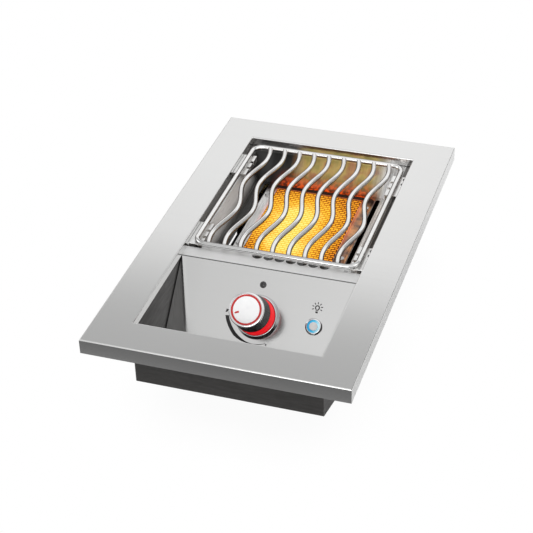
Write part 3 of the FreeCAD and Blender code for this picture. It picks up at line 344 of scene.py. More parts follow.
def join(name, pieces):
    """Joins several new pieces into one."""
    built = bmesh.new()
    materials = []
    for piece in pieces:
        start = len(built.faces)
        built.from_mesh(piece.data)
        built.faces.ensure_lookup_table()
        slots = []
        for material in piece.data.materials:
            if material not in materials:
                materials.append(material)
            slots.append(materials.index(material))
        for face in built.faces[start:]:
            face.material_index = slots[face.material_index]
    mesh = bpy.data.meshes.new(name)
    built.to_mesh(mesh)
    built.free()
    for material in materials:
        mesh.materials.append(material)
    for piece in pieces:
        old = piece.data
        bpy.data.objects.remove(piece)
        bpy.data.meshes.remove(old)
    return show(name, mesh)


def dress(piece, body, slot, *nodes):
    """Hangs a finished piece on its body and hides the nodes it stands for; the finish slot is not used."""
    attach(piece, body)
    if nodes:
        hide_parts(*nodes)


def coat(look, *nodes):
    """Gives CAD nodes one finish."""
    for name in nodes:
        mesh = NODES[name].data
        mesh.materials.clear()
        mesh.materials.append(finish(look))


# Node trees

SOCKETS = {"value": "NodeSocketFloat", "vector": "NodeSocketVector", "colour": "NodeSocketColor",
           "count": "NodeSocketInt", "material": "NodeSocketMaterial", "shape": "NodeSocketGeometry"}


class Nodes:
    """A node tree in the making, with a short call for each kind of step."""

    def __init__(self, tree):
        self.tree = tree

    def find(self, kind):
        """The node of a kind that the tree has from the start."""
        return next(node for node in self.tree.nodes if node.type == kind)

    def feed(self, target, value):
        """Gives a socket a plain value, another node's output, or a node's first output."""
        if isinstance(value, bpy.types.Node):
            value = value.outputs[0]
        if isinstance(value, bpy.types.NodeSocket):
            self.tree.links.new(value, target)
        elif target.type == "RGBA":
            target.default_value = (*value[:3], 1.0)
        else:
            target.default_value = value

    def add(self, kind, *values, **named):
        """A new node: values feed inputs in order, a name with a capital an input, others a setting."""
        node = self.tree.nodes.new(kind)
        inputs = list(enumerate(values))
        for label, value in named.items():
            if label[0].islower():
                setattr(node, label, value)
            else:
                inputs.append((label.replace("_", " "), value))
        for key, value in inputs:
            self.feed(node.inputs[key], value)
        return node

    def math(self, operation, *values):
        """A sum, product or the like of sockets and numbers."""
        return self.add("ShaderNodeMath", *values, operation=operation).outputs[0]

    def vector_math(self, operation, *values):
        """The same for vectors; a length is a plain number."""
        made = self.add("ShaderNodeVectorMath", *values, operation=operation)
        return made.outputs["Value" if operation == "LENGTH" else "Vector"]

    def vector(self, x=0.0, y=0.0, z=0.0):
        """A vector from sockets or numbers."""
        return self.add("ShaderNodeCombineXYZ", x, y, z).outputs[0]

    def times(self, first, second):
        """The product of two varying values, or of a value and a number."""
        return self.math("MULTIPLY", first, second)

    def remap(self, source, low, high, source_low=0.0, source_high=1.0):
        """Maps a varying value to a range."""
        return self.add("ShaderNodeMapRange", Value=source, From_Min=source_low, From_Max=source_high,
                        To_Min=low, To_Max=high).outputs["Result"]

    def mix(self, factor, first, second):
        """Mixes two colours, each a socket or a plain colour, by a varying factor."""
        made = self.add("ShaderNodeMix", data_type="RGBA", Factor=factor, A=first, B=second)
        return made.outputs["Result"]

    def ramp(self, factor, stops):
        """A colour ramp from (position, colour) stops, read by a varying factor."""
        node = self.add("ShaderNodeValToRGB", Fac=factor)
        elements = node.color_ramp.elements
        for element, (position, colour) in zip(elements, (stops[0], stops[-1])):
            element.position = position
            element.color = (*colour, 1.0)
        for position, colour in stops[1:-1]:
            elements.new(position).color = (*colour, 1.0)
        return node.outputs["Color"]

    def end_in(self, output, lit, seen):
        """Ends a tree in one shader for light, and another where the camera looks straight at it."""
        path = self.add("ShaderNodeLightPath").outputs
        both = self.add("ShaderNodeMixShader", path["Is Camera Ray"], lit, seen)
        self.feed(self.find(output).inputs["Surface"], both)


class Surface(Nodes):
    """A material in the making, with its shader and object coordinates."""

    def __init__(self, name, **values):
        self.material = bpy.data.materials.new(name)
        self.material.use_nodes = True
        super().__init__(self.material.node_tree)
        self.shader = self.find("BSDF_PRINCIPLED")
        self.place = self.add("ShaderNodeTexCoord").outputs["Object"]
        self.masks = {}
        self.set(**values)

    def set(self, **values):
        """Feeds the shader's sockets."""
        for label, value in values.items():
            self.feed(self.shader.inputs[label.replace("_", " ")], value)

    def source(self, label):
        """What feeds one of the shader's sockets so far."""
        return self.shader.inputs[label].links[0].from_socket

    def group(self, name, **values):
        """The outputs of a shared group, placed on the object's coordinates with its own values."""
        return self.add("ShaderNodeGroup", node_tree=shared(name), Vector=self.place, **values).outputs

    def drift(self, light, dark, scale, **band):
        """A colour that drifts between two tints, and its mask."""
        return self.group("patina", Tint_A=light, Tint_B=dark, Scale=scale, **band)

    def noise(self, scale):
        """Soft noise from 0 to 1."""
        return self.add("ShaderNodeTexNoise", Vector=self.place, Scale=scale, Detail=2.0).outputs["Fac"]

    def zone(self, name):
        """A mask that is 1 in a zone and falls to 0 around it."""
        if name not in self.masks:
            centre, half, reach = ZONES[name]
            self.masks[name] = self.group("zone", Centre=centre, Half_Size=half, Reach=reach)["Mask"]
        return self.masks[name]

    def layer(self, under, name, share, colour):
        """Lays a share of a colour over another in a zone."""
        mask = self.zone(name)
        return self.mix(mask if share == 1.0 else self.times(mask, share), under, colour)

    def relief(self, height, strength, distance):
        """Feeds a height to the shader's normal."""
        made = self.add("ShaderNodeBump", Strength=strength, Distance=distance, Height=height)
        self.set(Normal=made.outputs["Normal"])

    def soft_bounce(self, colour, share):
        """A lit colour that reaches its neighbours by a share of its own brightness only."""
        path = self.add("ShaderNodeLightPath").outputs
        bounced = self.math("MAXIMUM", path["Is Diffuse Ray"], path["Is Glossy Ray"])
        return self.mix(self.times(bounced, 1.0 - share), colour, BLACK)


def new_tree(kind, name, inputs, outputs):
    """An empty group of a kind with named sockets, and the outputs of its input node."""
    tree = bpy.data.node_groups.new(name, kind)
    for label, sort, *default in inputs:
        made = tree.interface.new_socket(label, in_out="INPUT", socket_type=SOCKETS[sort])
        if default:
            made.default_value = default[0]
    for label, sort in outputs:
        tree.interface.new_socket(label, in_out="OUTPUT", socket_type=SOCKETS[sort])
    nodes = Nodes(tree)
    return nodes, nodes.add("NodeGroupInput").outputs


# Shader groups shared by the finishes

def grain_group():
    """Fine parallel brush lines and a soft cloud, both from 0 to 1."""
    nodes, given = new_tree(
        "ShaderNodeTree", "brushed grain",
        [("Vector", "vector"), ("Stretch", "vector", (4.0, 900.0, 900.0)), ("Cloud Scale", "value", 14.0)],
        [("Lines", "value"), ("Cloud", "value")])
    stretched = nodes.vector_math("MULTIPLY", given["Vector"], given["Stretch"])
    lines = nodes.add("ShaderNodeTexNoise", Vector=stretched, Scale=1.0, Detail=3.0, Roughness=0.6)
    cloud = nodes.add("ShaderNodeTexNoise", Vector=given["Vector"], Scale=given["Cloud Scale"], Detail=2.0)
    nodes.add("NodeGroupOutput", lines.outputs["Fac"], cloud.outputs["Fac"])
    return nodes.tree


def patina_group():
    """A colour that drifts between two tints through soft noise, with its mask."""
    nodes, given = new_tree(
        "ShaderNodeTree", "patina",
        [("Vector", "vector"), ("Tint A", "colour", (0.5, 0.5, 0.5, 1)),
         ("Tint B", "colour", (0.4, 0.4, 0.4, 1)), ("Scale", "value", 20.0), ("From", "value", 0.35),
         ("To", "value", 0.65)],
        [("Colour", "colour"), ("Mask", "value")])
    noise = nodes.add("ShaderNodeTexNoise", Vector=given["Vector"], Scale=given["Scale"], Detail=4.0)
    spread = nodes.remap(noise.outputs["Fac"], 0.0, 1.0, given["From"], given["To"])
    nodes.add("NodeGroupOutput", nodes.mix(spread, given["Tint A"], given["Tint B"]), spread)
    return nodes.tree


def zone_group():
    """A mask that falls from 1 to 0 with the distance from a box."""
    nodes, given = new_tree(
        "ShaderNodeTree", "zone",
        [("Vector", "vector"), ("Centre", "vector"), ("Half Size", "vector"), ("Reach", "value", 0.03)],
        [("Mask", "value")])
    away = nodes.vector_math("ABSOLUTE", nodes.vector_math("SUBTRACT", given["Vector"], given["Centre"]))
    beyond = nodes.vector_math("SUBTRACT", away, given["Half Size"])
    distance = nodes.vector_math("LENGTH", nodes.vector_math("MAXIMUM", beyond, (0, 0, 0)))
    nodes.add("NodeGroupOutput", nodes.remap(distance, 1.0, 0.0, 0.0, given["Reach"]))
    return nodes.tree


GROUP_MAKERS = {"grain": grain_group, "patina": patina_group, "zone": zone_group}
GROUPS = {}


def shared(name):
    """A shared group by name, made once."""
    if name not in GROUPS:
        GROUPS[name] = GROUP_MAKERS[name]()
    return GROUPS[name]


# Finishes

def shade(colour, share):
    """A colour made darker by a share."""
    return tuple(share * channel for channel in colour)


def brushed_steel(name, light, dark, rough, stretch, depth=0.1, cloud=14.0, cloud_share=0.3):
    """Brushed sheet steel: fine lines in colour, gloss and relief, and a faint cloud."""
    made = Surface(name, Metallic=1.0)
    grain = made.group("grain", Stretch=stretch, Cloud_Scale=cloud)
    mixed = made.add("ShaderNodeMix", Factor=cloud_share, A=grain["Lines"], B=grain["Cloud"])
    value = made.remap(mixed.outputs["Result"], 0.0, 1.0, 0.3, 0.7)
    made.set(Base_Color=made.mix(value, dark, light), Roughness=made.remap(value, rough[1], rough[0]))
    made.relief(grain["Lines"], depth, FINE_RELIEF)
    return made


def smooth_metal(name, light, dark, rough, scale=60.0):
    """Polished or plated metal with faint drifts of tint and gloss."""
    made = Surface(name, Metallic=1.0)
    tint = made.drift(light, dark, scale)
    made.set(Base_Color=tint["Colour"], Roughness=made.remap(tint["Mask"], *rough))
    return made


def moulded(name, light, dark, rough, scale, relief=0.1, coat_weight=0.0, specular=0.5):
    """Moulded plastic, rubber or ceramic with a fine surface relief."""
    made = Surface(name, Coat_Weight=coat_weight, Specular_IOR_Level=specular)
    tint = made.drift(light, dark, scale, From=0.3, To=0.7)
    made.set(Base_Color=tint["Colour"], Roughness=made.remap(tint["Mask"], *rough))
    made.relief(tint["Mask"], relief, FINE_RELIEF)
    return made


def lit(name, core, edge, strength):
    """A translucent plastic lit from behind, with a slow drift of brightness."""
    made = Surface(name, Emission_Strength=strength, Specular_IOR_Level=0.1)
    tint = made.drift(core, edge, 90.0, From=0.3, To=0.7)
    made.set(Base_Color=made.mix(tint["Mask"], shade(core, 0.35), shade(edge, 0.35)),
             Emission_Color=made.soft_bounce(tint["Colour"], 0.05),
             Roughness=made.remap(tint["Mask"], 0.4, 0.5))
    return made


def glowing_tile():
    """Burner ceramic: rows of small cells, yellow in the middle and orange to the edges."""
    made = Surface("glowing ceramic", Emission_Strength=1.0, Roughness=1.0, Specular_IOR_Level=0.1)
    flat = made.add("ShaderNodeMapping", Vector=made.place, Scale=(1700.0, 1000.0, 1000.0))
    cells = made.add("ShaderNodeTexBrick", offset=0.5, Vector=flat, Scale=1.0,
                     Brick_Width=12.4, Row_Height=4.7, Mortar_Size=1.12, Mortar_Smooth=0.35)
    gaps = cells.outputs["Fac"]
    cloud = made.drift(BLACK, WHITE, 45.0)["Mask"]
    warm = made.math("MULTIPLY_ADD", cloud, 0.2, made.zone("tile heat"))
    heated = made.times(warm, made.remap(made.zone("tile cool corner"), 1.0, 0.12))
    rib = made.ramp(heated, (
        (0.02, (0.90, 0.28, 0.006)), (0.22, (1.0, 0.46, 0.014)), (0.60, (1.0, 0.66, 0.04)),
        (1.0, (1.0, 0.92, 0.24))))
    gap = made.ramp(heated, (
        (0.02, (0.035, 0.001, 0.001)), (0.20, (0.20, 0.014, 0.002)), (0.50, (0.62, 0.13, 0.006)),
        (0.80, (1.0, 0.40, 0.020)), (1.0, (1.0, 0.62, 0.050))))
    made.set(Base_Color=made.mix(gaps, (0.16, 0.06, 0.025), (0.03, 0.008, 0.004)),
             Emission_Color=made.soft_bounce(made.mix(gaps, rib, gap), 0.08))
    made.relief(made.remap(gaps, 1.0, 0.0), 0.6, CELL_RELIEF)
    return made


def liner_steel():
    """The firebox's steel: streaked and bright, with painted light on its left wall and painted shade on
    its floor, rims and corners, nearly black at the rear left, heat-tinted by the tiles, with a painted red
    glow behind them.
    """
    made = Surface("firebox steel", Emission_Strength=0.9)
    grain = made.group("grain", Stretch=(500.0, 12.0, 60.0), Cloud_Scale=22.0)
    streak = made.remap(grain["Lines"], 0.0, 1.0, 0.3, 0.7)
    steel = made.mix(streak, (0.52, 0.515, 0.51), (0.97, 0.97, 0.965))
    for name, share, colour in LINER_LAYERS:
        steel = made.layer(steel, name, share, colour)
    straw = made.ramp(made.noise(45.0), (
        (0.35, (0.62, 0.29, 0.11)), (0.48, (0.74, 0.52, 0.14)), (0.62, (0.52, 0.42, 0.09))))
    steel = made.layer(steel, "liner straw tint", 0.9, straw)
    steel = made.layer(steel, "liner right tint", 0.15, (0.55, 0.30, 0.15))
    # Painted glow: a dark red base behind the tiles, with a red glow painted on the steel
    steel = made.layer(steel, "liner behind tiles", 1.0, (0.09, 0.022, 0.010))
    near = made.zone("liner behind tiles")
    spots = made.remap(made.noise(170.0), 0.12, 1.0, 0.42, 0.60)
    glow = made.mix(made.times(made.times(near, near), spots), BLACK, (0.85, 0.085, 0.003))
    made.set(Base_Color=steel,
             Metallic=made.remap(made.zone("liner left wall painted light"), 0.75, 0.12),
             Roughness=made.math("MULTIPLY_ADD", made.zone("liner rear wall"), 0.25,
                                 made.remap(streak, 0.36, 0.22)),
             Emission_Color=made.soft_bounce(glow, 0.1))
    made.relief(grain["Lines"], 0.2, SHEET_RELIEF)
    return made


def flange_steel():
    """The burner's flange: bright at its front left, heat-tinted with painted orange highlights at its
    right, and a painted red glow behind and right of the tiles.
    """
    made = Surface("burner flange steel", Metallic=0.7, Emission_Strength=0.4)
    grain = made.group("grain", Stretch=(300.0, 25.0, 300.0), Cloud_Scale=40.0)
    streak = made.remap(grain["Lines"], 0.0, 1.0, 0.32, 0.68)
    # Heat tint with painted orange highlights on the flange right of the tiles
    tint_and_highlight_cloud = made.remap(grain["Cloud"], 0.0, 1.0, 0.42, 0.60)
    heat_tint_and_painted_highlight = made.mix(tint_and_highlight_cloud, (0.16, 0.045, 0.015), (1.0, 0.42, 0.11))
    steel = made.mix(streak, (0.74, 0.73, 0.72), (0.98, 0.98, 0.98))
    steel = made.layer(steel, "flange right", 0.85, heat_tint_and_painted_highlight)
    steel = made.layer(steel, "flange rear", 1.0, (0.03, 0.006, 0.003))
    # Painted glow: a red glow painted along the flange's far edge
    red = made.mix(grain["Cloud"], (0.95, 0.16, 0.008), (0.35, 0.02, 0.002))
    glow = made.mix(made.times(made.zone("flange edge"), made.zone("flange far half")), BLACK, red)
    made.set(Base_Color=steel, Roughness=made.remap(streak, 0.42, 0.26),
             Emission_Color=made.soft_bounce(glow, 0.1))
    made.relief(grain["Lines"], 0.15, SHEET_RELIEF)
    return made


def rod_steel():
    """The grid's polished steel, with painted shade on its front rod and a painted dark warm reflection at
    grazing angles.
    """
    made = smooth_metal("polished rod steel", (0.96, 0.96, 0.955), (0.90, 0.90, 0.89), (0.10, 0.15), 40.0)
    # Painted shade: the front rod darkened
    made.set(Base_Color=made.layer(made.source("Base Color"), "front rod", 0.7, (0.50, 0.50, 0.50)),
             # Painted reflection: a dark warm tint at grazing angles
             Specular_Tint=(0.10, 0.05, 0.04))
    return made


def panel_steel(light, dark):
    """Satin steel with painted shade along its fold, dark seams, painted light on a matt pale shelf and a
    glossy strip at the left.
    """
    made = brushed_steel("satin panel steel", light, dark, (0.15, 0.19), (5.0, 700.0, 700.0), 0.06, 5.0,
                         0.7)
    steel = made.source("Base Color")
    for name, share, colour in PANEL_LAYERS:
        steel = made.layer(steel, name, share, colour)
    rough = made.math("MULTIPLY_ADD", made.zone("panel left strip"), -0.10, made.source("Roughness"))
    made.set(Base_Color=steel,
             Roughness=made.math("MULTIPLY_ADD", made.zone("panel shelf painted light"), 0.5, rough))
    return made


def blue_lens(deep):
    """The button's lit ring: deep blue at the left, with a painted pale highlight at the right where it
    catches the light.
    """
    made = Surface("lit blue plastic", Emission_Strength=0.35, Roughness=0.2)
    across = made.add("ShaderNodeSeparateXYZ", made.place).outputs["X"]
    # Painted highlight: pale towards the right
    colour = made.ramp(made.remap(across, 0.0, 1.0, 0.068, 0.081), (
        (0.0, deep), (0.45, (0.06, 0.50, 0.76)), (1.0, (0.55, 0.82, 0.90))))
    made.set(Base_Color=colour, Emission_Color=colour)
    return made


def finish_table():
    """Each finish's maker and its values: name, two tints, roughness and the rest."""
    look = bpy.context.scene.burner_finish
    steel, accent, ring, button = (tuple(c) for c in (look.steel, look.accent, look.ring, look.button))
    return {
        "trim": (brushed_steel, "brushed trim steel", steel, shade(steel, 0.965), (0.17, 0.22),
                 (4.0, 600.0, 600.0), 0.03, 4.0, 0.6),
        "panel": (panel_steel, shade(steel, 0.98), shade(steel, 0.92)),
        # Painted shade: the casing steel darkened
        "casing": (brushed_steel, "dull casing steel", (0.105, 0.102, 0.100), (0.080, 0.078, 0.076),
                   (0.42, 0.55), (40.0, 40.0, 300.0)),
        "liner": (liner_steel,),
        "rod": (rod_steel,),
        "rest": (brushed_steel, "pressed rest steel", (0.95, 0.95, 0.94), (0.80, 0.80, 0.79),
                 (0.25, 0.36), (60.0, 60.0, 60.0)),
        "burner": (flange_steel,),
        "tile": (glowing_tile,),
        "fibre": (moulded, "gasket fibre", (0.80, 0.72, 0.60), (0.62, 0.50, 0.38), (0.9, 1.0), 260.0, 0.5),
        "plain steel": (brushed_steel, "plain sheet steel", (0.62, 0.62, 0.61), (0.48, 0.48, 0.47),
                        (0.32, 0.45), (30.0, 30.0, 400.0)),
        "brass": (smooth_metal, "turned brass", (0.80, 0.62, 0.30), (0.66, 0.48, 0.22), (0.22, 0.38), 90.0),
        "cast": (moulded, "cast valve alloy", (0.58, 0.58, 0.57), (0.48, 0.48, 0.47), (0.45, 0.6), 500.0,
                 0.4),
        "chrome": (smooth_metal, "bright chrome", (0.86, 0.86, 0.87), (0.78, 0.78, 0.79), (0.07, 0.14),
                   50.0),
        "bezel": (smooth_metal, "bezel chrome", (0.66, 0.66, 0.67), (0.58, 0.58, 0.59), (0.10, 0.18)),
        # Painted shade: a darkened copy of the bezel chrome, for the bezel's skirt
        "dark chrome": (smooth_metal, "dark chrome", (0.46, 0.46, 0.47), (0.38, 0.38, 0.39), (0.12, 0.2)),
        "grip": (moulded, "black grip plastic", (0.012, 0.011, 0.011), (0.006, 0.006, 0.006),
                 (0.34, 0.45), 700.0, 0.12, 0.0, 0.16),
        "face": (moulded, "white knob face", (0.95, 0.95, 0.95), (0.90, 0.90, 0.905), (0.3, 0.4), 120.0,
                 0.03),
        "red paint": (moulded, "red accent paint", accent, shade(accent, 0.8), (0.25, 0.35), 300.0),
        "red light": (lit, "lit red plastic", ring, shade(ring, 0.85), look.ring_light),
        "blue light": (blue_lens, button),
        "cap": (moulded, "pale button cap", (0.95, 0.94, 0.93), (0.88, 0.88, 0.88), (0.25, 0.35), 300.0,
                0.05),
        "ink": (moulded, "printed black ink", (0.012, 0.012, 0.012), (0.022, 0.022, 0.022), (0.45, 0.6),
                500.0),
        "black gloss": (moulded, "black lens", (0.012, 0.012, 0.013), (0.02, 0.02, 0.022), (0.12, 0.2),
                        300.0, 0.05, 0.5),
        "black plastic": (moulded, "black moulded plastic", (0.06, 0.06, 0.062), (0.04, 0.04, 0.042),
                          (0.4, 0.55), 600.0, 0.3),
        "white ceramic": (moulded, "glazed electrode ceramic", (0.86, 0.84, 0.80), (0.78, 0.74, 0.68),
                          (0.15, 0.3), 200.0, 0.05, 0.4),
        "heated wire": (smooth_metal, "heat-darkened wire", (0.30, 0.27, 0.24), (0.18, 0.15, 0.13),
                        (0.35, 0.5), 200.0),
        "plated": (smooth_metal, "plated screw steel", (0.66, 0.66, 0.66), (0.52, 0.52, 0.53),
                   (0.22, 0.35), 200.0),
        "rubber": (moulded, "grommet rubber", (0.022, 0.022, 0.022), (0.03, 0.03, 0.03), (0.6, 0.8),
                   500.0, 0.3),
    }


FINISHES = {}


def finish(name):
    """A finish's material by name, made once."""
    if name not in FINISHES:
        maker, *values = finish_table()[name]
        FINISHES[name] = maker(*values).material
    return FINISHES[name]


# Geometry node trees

def end_tree(nodes, shape, material):
    """Ends a geometry tree in plain geometry with its material."""
    real = nodes.add("GeometryNodeRealizeInstances", shape)
    painted = nodes.add("GeometryNodeSetMaterial", Geometry=real, Material=material)
    nodes.add("NodeGroupOutput", painted)
    return nodes.tree


def wave_grid_tree():
    """A rod frame with wave rods across it, all round in section."""
    lengths = ("Pitch", "Amplitude", "Wavelength", "Crest Y", "Front Y", "Rear Y", "Half Width",
               "Corner Radius", "Rod Radius", "Height")
    nodes, given = new_tree(
        "GeometryNodeTree", "wave rod grid",
        [("Geometry", "shape"), ("Rods", "count"), *((label, "value") for label in lengths),
         ("Material", "material")],
        [("Geometry", "shape")])
    front, rear, height = given["Front Y"], given["Rear Y"], given["Height"]
    line = nodes.add("GeometryNodeCurvePrimitiveLine", Start=nodes.vector(0.0, front),
                     End=nodes.vector(0.0, rear))
    fine = nodes.add("GeometryNodeResampleCurve", Curve=line, Count=72)
    place = nodes.add("GeometryNodeInputPosition").outputs[0]
    along = nodes.math("SUBTRACT", nodes.add("ShaderNodeSeparateXYZ", place).outputs["Y"], given["Crest Y"])
    turn = nodes.times(nodes.math("DIVIDE", along, given["Wavelength"]), 2 * math.pi)
    side = nodes.times(nodes.math("COSINE", turn), given["Amplitude"])
    waved = nodes.add("GeometryNodeSetPosition", Geometry=fine,
                      Offset=nodes.vector(side, 0.0, height))
    last = nodes.math("SUBTRACT", given["Rods"], 1.0)
    first_x = nodes.times(nodes.times(last, -0.5), given["Pitch"])
    row = nodes.add("GeometryNodeMeshLine", Count=given["Rods"], Start_Location=nodes.vector(first_x),
                    Offset=nodes.vector(given["Pitch"]))
    spread = nodes.add("GeometryNodeInstanceOnPoints", Points=row, Instance=waved)
    loose = nodes.add("GeometryNodeRealizeInstances", spread)
    ring = nodes.add("GeometryNodeCurvePrimitiveQuadrilateral", Width=nodes.times(given["Half Width"], 2.0),
                     Height=nodes.math("SUBTRACT", rear, front))
    rounded = nodes.add("GeometryNodeFilletCurve", mode="POLY", Curve=ring, Count=14,
                        Radius=given["Corner Radius"])
    middle = nodes.times(nodes.math("ADD", rear, front), 0.5)
    moved = nodes.add("GeometryNodeTransform", Geometry=rounded,
                      Translation=nodes.vector(0.0, middle, height))
    both = nodes.add("GeometryNodeJoinGeometry", loose)
    nodes.feed(both.inputs[0], moved)
    section = nodes.add("GeometryNodeCurvePrimitiveCircle", Resolution=24, Radius=given["Rod Radius"])
    swept = nodes.add("GeometryNodeCurveToMesh", Curve=both, Profile_Curve=section,
                      Fill_Caps=True)
    soft = nodes.add("GeometryNodeSetShadeSmooth", Geometry=swept)
    return end_tree(nodes, soft, given["Material"])


def ray_tree():
    """Short bars round a centre, for the rays of the lamp symbol."""
    lengths = ("Inner Radius", "Length", "Width", "Thickness", "Span", "Start")
    nodes, given = new_tree(
        "GeometryNodeTree", "symbol rays",
        [("Geometry", "shape"), ("Rays", "count"), *((label, "value") for label in lengths),
         ("Material", "material")],
        [("Geometry", "shape")])
    bar = nodes.add("GeometryNodeMeshCube",
                    Size=nodes.vector(given["Length"], given["Width"], given["Thickness"]))
    reach = nodes.math("ADD", given["Inner Radius"], nodes.times(given["Length"], 0.5))
    lift = nodes.times(given["Thickness"], 0.5)
    shifted = nodes.add("GeometryNodeTransform", Geometry=bar,
                        Translation=nodes.vector(reach, 0.0, lift))
    points = nodes.add("GeometryNodeMeshLine", Count=given["Rays"], Offset=(0, 0, 0))
    index = nodes.add("GeometryNodeInputIndex").outputs[0]
    share = nodes.math("DIVIDE", index, nodes.math("SUBTRACT", given["Rays"], 1.0))
    angle = nodes.math("MULTIPLY_ADD", share, given["Span"], given["Start"])
    placed = nodes.add("GeometryNodeInstanceOnPoints", Points=points,
                       Instance=shifted, Rotation=nodes.vector(0.0, 0.0, angle))
    return end_tree(nodes, placed, given["Material"])


def grow(name, tree, values):
    """Runs a geometry tree with its values and returns a plain mesh object."""
    piece = show(name, bpy.data.meshes.new(name))
    modifier = piece.modifiers.new("build", "NODES")
    modifier.node_group = tree
    for item in tree.interface.items_tree:
        if item.item_type == "SOCKET" and item.in_out == "INPUT" and item.name in values:
            modifier[item.identifier] = values[item.name]
    return settle(piece)


# Settings shown in the sidebar

class BurnerFinish(bpy.types.PropertyGroup):
    """Colours of the side burner."""
    steel: FloatVectorProperty(name="Steel", description="Base colour of the brushed steel",
                               default=(0.80, 0.80, 0.795), subtype="COLOR", min=0, max=1)
    accent: FloatVectorProperty(name="Accent", description="Thin ring and pointer on the knob",
                                default=(0.60, 0.020, 0.018), subtype="COLOR", min=0, max=1)
    ring: FloatVectorProperty(name="Light ring", description="Lit ring round the knob",
                              default=(0.80, 0.010, 0.016), subtype="COLOR", min=0, max=1)
    ring_light: FloatProperty(name="Ring light", description="Strength of the lit ring",
                              default=0.95, min=0.0, soft_max=5.0)
    button: FloatVectorProperty(name="Button light", description="Lit ring of the lamp button",
                                default=(0.02, 0.36, 0.66), subtype="COLOR", min=0, max=1)


class BurnerGrid(bpy.types.PropertyGroup):
    """Sizes of the cooking grid."""
    rods: IntProperty(name="Rods", description="Number of wave rods", default=9, min=2, max=20)
    pitch: FloatProperty(name="Pitch", description="Distance between wave rods", default=0.0222,
                         unit="LENGTH", min=0.01)
    amplitude: FloatProperty(name="Amplitude", description="Sideways swing of a wave", default=0.0065,
                             unit="LENGTH", min=0.0)
    wavelength: FloatProperty(name="Wavelength", description="Length of one wave", default=0.136,
                              unit="LENGTH", min=0.02)


class BurnerStage(bpy.types.PropertyGroup):
    """Light and floor."""
    sky: FloatProperty(name="Sky", description="Strength of the surrounding light", default=1.0, min=0.0)
    lamp: FloatProperty(name="Lamp", description="Power that each soft lamp has a share of", default=9.0,
                        unit="POWER", min=0.0)


# Operators, one for each piece or group of pieces, each after the functions that it alone uses

def build_floor():
    """A wide pale floor that the camera sees as white, with a faint painted contact shadow, and painted
    shade in front that the front faces mirror.
    """
    made = Surface("pale floor", Roughness=0.9)
    depth = made.add("ShaderNodeSeparateXYZ", made.place).outputs["Y"]
    # Painted shade: darker in front, mirrored by the front faces
    made.set(Base_Color=made.ramp(made.remap(depth, 0.0, 1.0, *FLOOR_SHADE_FADE), (
        (0.0, (0.12, 0.12, 0.12)), (1.0, (0.90, 0.90, 0.90)))))
    contact = made.add("ShaderNodeAmbientOcclusion", Distance=SHADOW_REACH).outputs["AO"]
    glow = made.add("ShaderNodeEmission", Strength=made.remap(contact, 0.96, 1.0, 0.3, 0.9))
    made.end_in("OUTPUT_MATERIAL", made.shader, glow)
    corners = [(x * FLOOR_HALF, y * FLOOR_HALF, 0) for x, y in ((-1, -1), (1, -1), (1, 1), (-1, 1))]
    floor = collect("floor", corners, [(0, 1, 2, 3)], made.material, smooth=False)
    floor.data.transform(Matrix.Translation((0, 0, -FLOOR_DROP)))


def build_sky(strength):
    """A soft studio surround, plain white to the camera: dim behind, brighter in front and overhead."""
    world = bpy.data.worlds.new("studio surround")
    bpy.context.scene.world = world
    world.use_nodes = True
    nodes = Nodes(world.node_tree)
    parts = nodes.add("ShaderNodeSeparateXYZ", nodes.add("ShaderNodeTexCoord").outputs["Generated"]).outputs
    behind, before = (nodes.ramp(parts["Z"], [(height, (level, level, level)) for height, level in stops])
                      for stops in (SKY_BEHIND, SKY_BEFORE))
    lean = nodes.add("ShaderNodeVectorMath", before, operation="SCALE",
                     Scale=nodes.remap(parts["X"], 0.86, 1.30, -0.42, -0.08))
    side = nodes.remap(parts["Y"], 0.0, 1.0, -0.25, 0.25)
    surround = nodes.find("BACKGROUND")
    nodes.feed(surround.inputs["Color"], nodes.mix(side, lean, behind))
    nodes.feed(surround.inputs["Strength"], strength)
    nodes.end_in("OUTPUT_WORLD", surround, nodes.add("ShaderNodeBackground", Color=WHITE))


class BURNER_OT_stage(bpy.types.Operator):
    """Set the camera, the floor, the light and the view"""
    bl_idname = "burner.stage"
    bl_label = "Camera, floor and light"

    def execute(self, context):
        scene = context.scene
        lens = bpy.data.cameras.new("camera")
        lens.sensor_width = SENSOR_WIDTH
        lens.lens = CAMERA_LENS
        lens.clip_end = CAMERA_REACH
        camera = show("camera", lens)
        camera.rotation_mode = "QUATERNION"
        camera.location = CAMERA_PLACE
        camera.rotation_quaternion = Quaternion(CAMERA_TURN)
        scene.camera = camera
        build_floor()
        build_sky(scene.burner_stage.sky)
        for name, size, place, aim, power in LAMPS:
            light = bpy.data.lights.new(name, "AREA")
            light.shape = "RECTANGLE"
            light.size, light.size_y = size
            light.energy = scene.burner_stage.lamp * power
            lamp = show(name, light)
            lamp.visible_camera = False
            lamp.location = place
            lamp.rotation_euler = (Vector(aim) - Vector(place)).to_track_quat("-Z", "Y").to_euler()
        scene.view_settings.view_transform = "Standard"
        return {"FINISHED"}


